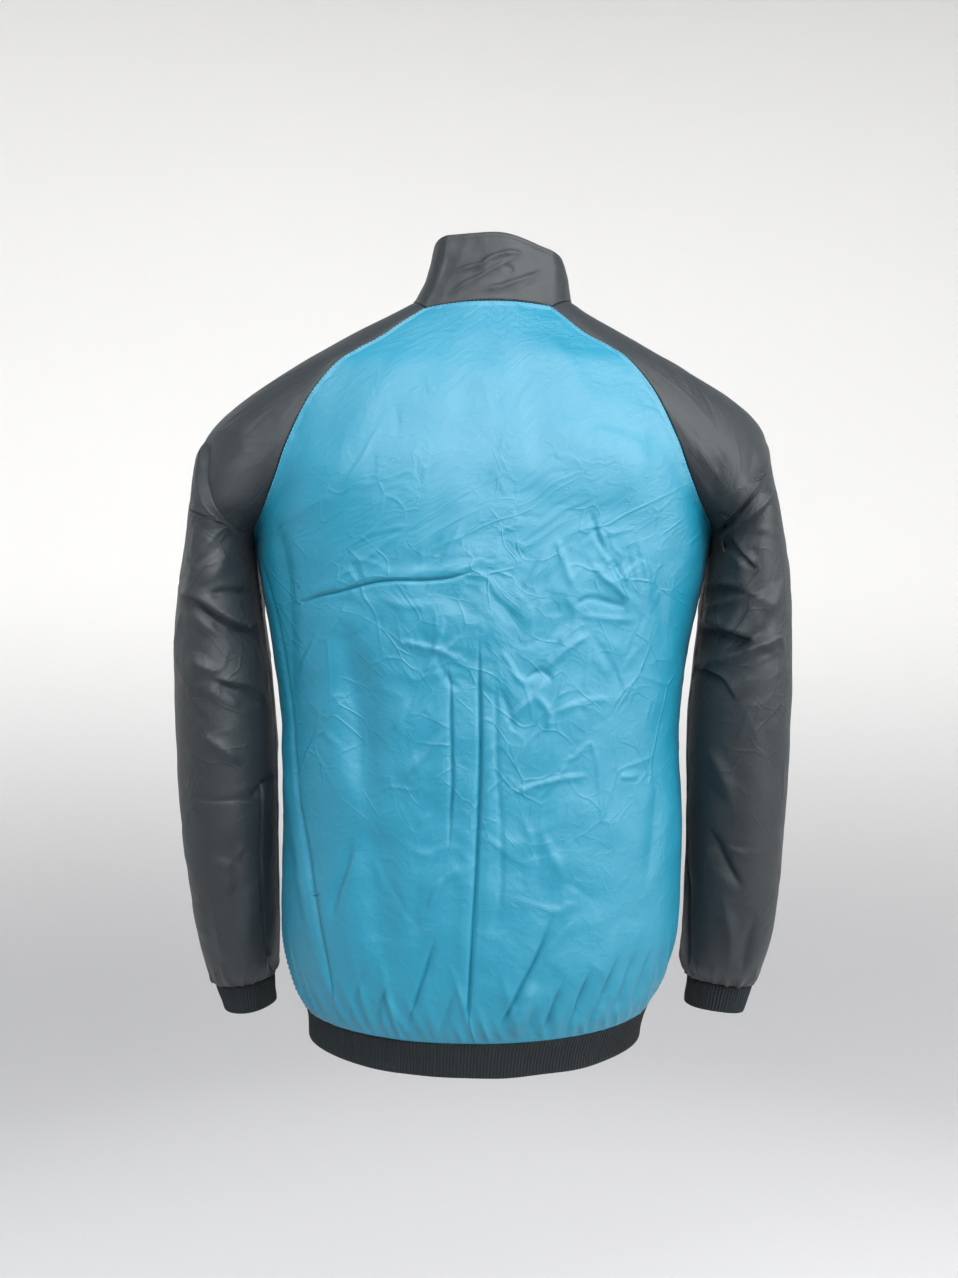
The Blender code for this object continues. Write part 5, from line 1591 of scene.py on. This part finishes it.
def rib_relief(sheet, seed):
    """Upright ribs with narrow grooves between them, none quite like the next, flattened at the seam."""
    rows, columns = sheet.shape[:2]
    rng = np.random.default_rng(seed)
    rib = np.arange(columns) / RIB_POINTS
    fullness = rng.uniform(0.75, 1.1, math.ceil(rib[-1]) + 1)[np.floor(rib).astype(int)]
    shape = np.abs(np.sin(math.pi * rib)) ** 0.75 * fullness
    height = RIB_DEPTH * (np.tile(shape, (rows, 1)) - 0.9)
    from_seam = from_edges(sheet, ["high"])
    from_fold = from_edges(sheet, ["low"])
    flat = smoothstep(from_seam, -0.001, 0.004) * (0.45 + 0.55 * smoothstep(from_fold, 0.0, 0.004))
    swell = 0.0016 * waves(sheet, seed + 1, 0.060) * smoothstep(from_seam, 0.002, 0.024)
    return height * flat + swell - 0.0006 * (1 - flat)


def tape_line(sheets, facing):
    """The left zip tape's two long edges, behind the pieces that it is sewn to."""
    edges = []
    for name, wall in (("hem_band", RIB), ("front_left", SHELL_WALL), ("collar", RIB)):
        sheet, out = sheets[name], facing[name]
        from_end = np.minimum(
            length_along(sheet[:, 0]), length_along(sheet[:, 0])[-1] - length_along(sheet[:, 0])
        )
        depth = wall + (RIB - wall) * (1 - smoothstep(from_end, 0.0, 0.014)) + SEAM_GAP
        edge = sheet[:, 0] - out[:, 0] * depth[:, None]
        front, away = (line_beside(points, sheet, "left", PLACKET) for points in (sheet, out))
        strip = front - away * depth[:, None]
        inner = edge + (edge - strip) * ((edge[:, :1] - TAPE_INNER) / (strip[:, :1] - edge[:, :1]))
        keep = slice(1, -1) if name == "front_left" else slice(None)
        edges.append(np.stack([inner, strip], axis=1)[keep])
    return np.concatenate(edges)


def tape_sheet(edges):
    """The left zip tape: rows up its length, columns from its inner edge outwards."""
    count = gaps_in(length_along(edges[:, 0])[-1], 0.003) + 1
    inner, strip = resampled(edges[:, 0], count), resampled(edges[:, 1], count)
    return inner[:, None] + (strip - inner)[:, None] * np.linspace(0, 1, 7)[None, :, None]


sheets, rings = smooth_sheets()
woven = ("back", "front_left", "front_right", "sleeve_left", "sleeve_right")
facing = wall_normals({name: sheets[name] for name in (*woven, "collar")})
for name in ("hem_band", "cuff_left", "cuff_right"):
    facing |= shared_normals({name: sheets[name]})

outer = {}


def add_cloth(name, height, wall, finish, ring=0, folded=()):
    """A cloth piece in the place of the frame's node of the same name."""
    mesh, outer[name] = cloth_shell(name, sheets[name], facing[name], height, wall, ring, folded)
    add_piece(f"{name}_cloth", mesh, finish, replaces=[name])


for name in woven:
    blue = not name.startswith("sleeve")
    edges = {"front_left": ("left",), "front_right": ("right",)}.get(name, ())
    add_cloth(
        name,
        shell_relief(name, sheets[name], facing[name]),
        CLOTH,
        "blue satin" if blue else "black satin",
        ring=0 if blue else rings,
        folded=edges,
    )
add_cloth(
    "collar", collar_relief(sheets["collar"], facing["collar"]), RIB, "black satin",
    folded=("high", "left", "right")
)
add_cloth(
    "hem_band", rib_relief(sheets["hem_band"], 15), RIB, "black rib",
    folded=("low", "left", "right")
)
for name, seed in (("cuff_left", 16), ("cuff_right", 18)):
    add_cloth(
        name, rib_relief(sheets[name], seed), RIB, "black rib", ring=len(sheets[name]),
        folded=("low",)
    )

# ---------------------------------------------------------------- the zip

tape = tape_sheet(tape_line(sheets, facing))
for name, sheet in (("zip_tape_left", tape), ("zip_tape_right", mirrored(tape))):
    sheets[name] = sheet
    facing |= shared_normals({name: sheet})
    add_cloth(name, np.zeros(sheet.shape[:2]), TAPE, "zip tape")

slider_low, slider_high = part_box("zip_slider")
box_low, box_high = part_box("zip_box")
pull_low, pull_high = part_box("zip_pull")


def zip_teeth(side):
    """One side's teeth, from the box up to the slider. side is 1 on the wearer's left."""
    line, out = tape[:, 0], facing["zip_tape_left"][:, 0]
    along = length_along(line)
    first = np.interp(box_high.z + 0.0012, line[:, 2], along)
    last = np.interp(slider_low.z + 0.0030, line[:, 2], along)
    teeth = []
    for place in np.arange(first + (0 if side > 0 else TOOTH_PITCH / 2), last, TOOTH_PITCH):
        at, normal = (np.array([np.interp(place, along, axis) for axis in one.T]) for one in (line, out))
        normal[0] = 0
        normal /= np.linalg.norm(normal)
        ahead = np.array([np.interp(place + 0.001, along, axis) for axis in line.T]) - at
        up = ahead / np.linalg.norm(ahead)
        axes = np.array([(side, 0.0, 0.0), normal, up])
        at = at * (side, 1, 1)
        teeth.append(chamfered((-0.0005, 0.0000, -0.00062), (0.0030, 0.0018, 0.00062), 0.00022, axes, at))
        teeth.append(chamfered((-0.0020, 0.0003, -0.00050), (0.0002, 0.0015, 0.00050), 0.00022, axes, at))
    return joined_blocks("teeth", teeth)


for side, name in ((1, "left"), (-1, "right")):
    add_piece(f"zip_teeth_{name}", zip_teeth(side), "zip teeth")


def oval(width, top, bottom, bulge, count=32):
    """A rounded outline in x and z, from its width, its top and bottom and how square it is."""
    middle, half = (top + bottom) / 2, (top - bottom) / 2
    angles = np.linspace(0, 2 * math.pi, count, endpoint=False)
    sine, cosine = np.sin(angles), np.cos(angles)
    return [
        (math.copysign(abs(c) ** bulge, c) * width / 2, middle + math.copysign(abs(s) ** bulge, s) * half)
        for s, c in zip(sine, cosine)
    ]


def slider_blocks():
    """The slider: two plates, the wedge between them and the bail in front that holds the pull."""
    middle, tall = (slider_low.z + slider_high.z) / 2, (slider_high.z - slider_low.z) / 2
    front, back = slider_low.y, slider_high.y
    plate_y = front + 0.0049 - 0.0015  # middle of the front plate
    blocks = []
    for y, thick in ((plate_y + 0.0008, 0.0015), (back - 0.00045, 0.0009)):
        points, faces = solid_plate(oval(0.0090, tall, -tall, 0.55), thick, 0.0003)
        blocks.append(([point + (0, y, middle) for point in points], faces))
    for low, high in (
        ((-0.0045, plate_y + 0.0010, middle - tall + 0.001), (-0.0038, back - 0.0022, middle + tall - 0.003)),
        ((0.0038, plate_y + 0.0010, middle - tall + 0.001), (0.0045, back - 0.0022, middle + tall - 0.003)),
        ((-0.0006, plate_y + 0.0010, middle + 0.0015), (0.0006, back - 0.0003, middle + tall - 0.0005)),
        ((-0.0009, front + 0.0004, middle + 0.0030), (0.0009, plate_y + 0.0006, middle + 0.0042)),
        ((-0.0009, front + 0.0004, middle - 0.0042), (0.0009, plate_y + 0.0006, middle - 0.0030)),
        ((-0.0009, front, middle - 0.0042), (0.0009, front + 0.0012, middle + 0.0042)),
    ):
        blocks.append(chamfered(low, high, 0.0003))
    return blocks


def solid_plate(outline, thickness, cut):
    """A plate with a rounded outline in x and z, its edges rounded off."""
    centre = np.mean(outline, axis=0)
    count = len(outline)
    points = []
    for depth, inset in ((-0.5, cut), (-0.5 + cut / thickness, 0.0), (0.5 - cut / thickness, 0.0), (0.5, cut)):
        for spot in outline:
            way = (np.array(spot) - centre) / np.linalg.norm(np.array(spot) - centre)
            x, z = np.array(spot) - way * inset
            points.append(np.array([x, depth * thickness, z]))
    faces = [
        (
            ring * count + k, ring * count + (k + 1) % count, (ring + 1) * count + (k + 1) % count,
            (ring + 1) * count + k
        )
        for ring in range(3)
        for k in range(count)
    ]
    faces += [tuple(range(count - 1, -1, -1)), tuple(range(3 * count, 4 * count))]
    return points, faces


add_piece("slider", joined_blocks("slider", slider_blocks()), "zip metal", replaces=["zip_slider"])

pull_y, pull_top = (pull_low.y + pull_high.y) / 2, pull_high.z
tab_points, tab_faces = rounded_plate(
    oval(
        pull_high.x - pull_low.x, 0.0, pull_low.z - pull_top, 0.35, 48
    ), oval(0.0032, -0.0011, -0.0088, 0.45, 48), 0.0010, 0.00022
)
tab = joined_blocks("pull", [([point + (0, pull_y, pull_top) for point in tab_points], tab_faces)])
add_piece("pull", tab, "zip metal", body="pull_tab", replaces=["zip_pull"])

end_box = joined_blocks(
    "box",
    [
        chamfered(box_low, box_high, 0.0007),
        chamfered(
            (-0.0006, box_low.y - 0.0002, box_low.z + 0.001),
            (0.0006, box_low.y + 0.0010, box_high.z + 0.0012), 0.0002
        ),
    ],
)
add_piece("end_box", end_box, "zip metal", replaces=["zip_box"])

# ---------------------------------------------------------------- stitching


def stitch_row(name, side, distance, rows=slice(None), **sewing):
    line = line_beside(outer[name], sheets[name], side, distance)[rows]
    out = line_beside(facing[name], sheets[name], side, distance)[rows]
    return stitches(line, out, **sewing)


arm_rows = slice(len(sheets["back"]) - (len(sheets["sleeve_left"]) - rings) - 1, None)
blue_rows = [
    stitch_row("back", "left", STITCH_SEAM, arm_rows),
    stitch_row("back", "right", STITCH_SEAM, arm_rows),
    stitch_row("back", "high", STITCH_SEAM),
    stitch_row("front_left", "right", STITCH_SEAM, arm_rows),
    stitch_row("front_right", "left", STITCH_SEAM, arm_rows),
    stitch_row("front_left", "left", STITCH_ZIP),
    stitch_row("front_right", "right", STITCH_ZIP),
    stitch_row("front_left", "left", STITCH_PLACKET),
    stitch_row("front_right", "right", STITCH_PLACKET),
]
black_rows = [
    stitch_row("collar", "low", STITCH_NECK),
    stitch_row("collar", "high", STITCH_COLLAR_TOP),
    stitch_row("collar", "left", STITCH_ZIP),
    stitch_row("collar", "right", STITCH_ZIP),
]
for name, rows in (("blue", blue_rows), ("black", black_rows)):
    add_piece(f"{name}_stitching", joined_blocks("stitching", sum(rows, [])), f"{name} thread")

# ---------------------------------------------------------------- studio


def studio():
    """A round sweep of pale paper: a flat floor that curves up into a wall all round."""
    profile_line = [(0.0, FLOOR_Z), (0.8, FLOOR_Z), (2.0, FLOOR_Z)]
    profile_line += [
        (2.0 + 1.4 * math.sin(a), FLOOR_Z + 1.4 * (1 - math.cos(a))) for a in np.linspace(0.1, math.pi / 2, 14)
    ]
    profile_line += [(3.4, 1.0), (3.4, 2.6)]
    turns = 64
    points = [
        (r * math.cos(2 * math.pi * k / turns), r * math.sin(2 * math.pi * k / turns), z)
        for r, z in profile_line[1:]
        for k in range(turns)
    ] + [(0.0, 0.0, FLOOR_Z)]
    faces = [
        (
            ring * turns + k, ring * turns + (k + 1) % turns, (ring + 1) * turns + (k + 1) % turns,
            (ring + 1) * turns + k
        )
        for ring in range(len(profile_line) - 2)
        for k in range(turns)
    ]
    faces += [(len(points) - 1, (k + 1) % turns, k) for k in range(turns)]
    mesh = bpy.data.meshes.new("sweep")
    mesh.from_pydata(points, [], faces)
    mesh.polygons.foreach_set("use_smooth", [True] * len(faces))
    sweep = bpy.data.objects.new("sweep", mesh)
    bpy.context.scene.collection.objects.link(sweep)
    mesh.materials.append(studio_paper("studio paper"))


def soft_light(name, place, target, width, height, power, colour=(1.0, 1.0, 1.0), spread=180, shine=True):
    lamp = bpy.data.lights.new(name, "AREA")
    lamp.shape, lamp.size, lamp.size_y, lamp.energy, lamp.color = "RECTANGLE", width, height, power, colour
    lamp.spread = math.radians(spread)
    light = bpy.data.objects.new(name, lamp)
    bpy.context.scene.collection.objects.link(light)
    light.location = place
    light.visible_glossy = shine
    way = np.array(target) - np.array(place)
    light.rotation_euler = (
        math.acos(-way[2] / np.linalg.norm(way)), 0.0, math.atan2(way[1], way[0]) - math.pi / 2
    )


studio()
soft_light("key", (-0.30, 1.85, 1.50), (0.0, 0.05, -0.15), 3.8, 1.6, 88.0, spread=130)
soft_light("rear", (-1.55, 2.35, 0.50), (0.0, 0.05, -0.25), 1.8, 1.0, 20.0, spread=120)
soft_light("left fill", (2.3, 1.0, 0.1), (0.0, 0.0, -0.35), 1.0, 2.0, 10.0, (0.72, 0.88, 1.0))
soft_light("right fill", (-2.3, 1.0, 0.3), (0.0, 0.0, -0.35), 1.0, 2.0, 38.0, (1.0, 0.985, 0.96))
soft_light("front", (0.35, -1.5, 2.3), (0.0, -0.05, -0.20), 1.8, 1.1, 40.0, spread=90, shine=False)
soft_light("backdrop", (0.0, -1.3, 2.6), (0.0, -3.4, 0.4), 3.0, 0.6, 8.5, spread=140, shine=False)

world = bpy.data.worlds.new("studio air")
bpy.context.scene.world = world
world.use_nodes = True
world.node_tree.nodes["Background"].inputs["Color"].default_value = (0.93, 0.96, 1.0, 1.0)
world.node_tree.nodes["Background"].inputs["Strength"].default_value = 0.20
bpy.context.scene.view_settings.view_transform = "Standard"

lens = bpy.data.cameras.new("camera")
lens.sensor_fit = "VERTICAL"
lens.sensor_height = 36.0
lens.lens = 32.96
lens.shift_x = -0.0023
camera = bpy.data.objects.new("camera", lens)
bpy.context.scene.collection.objects.link(camera)
camera.location = (0.0, 1.17, -0.320)
camera.rotation_euler = (math.radians(90), 0.0, math.radians(180))
bpy.context.scene.camera = camera
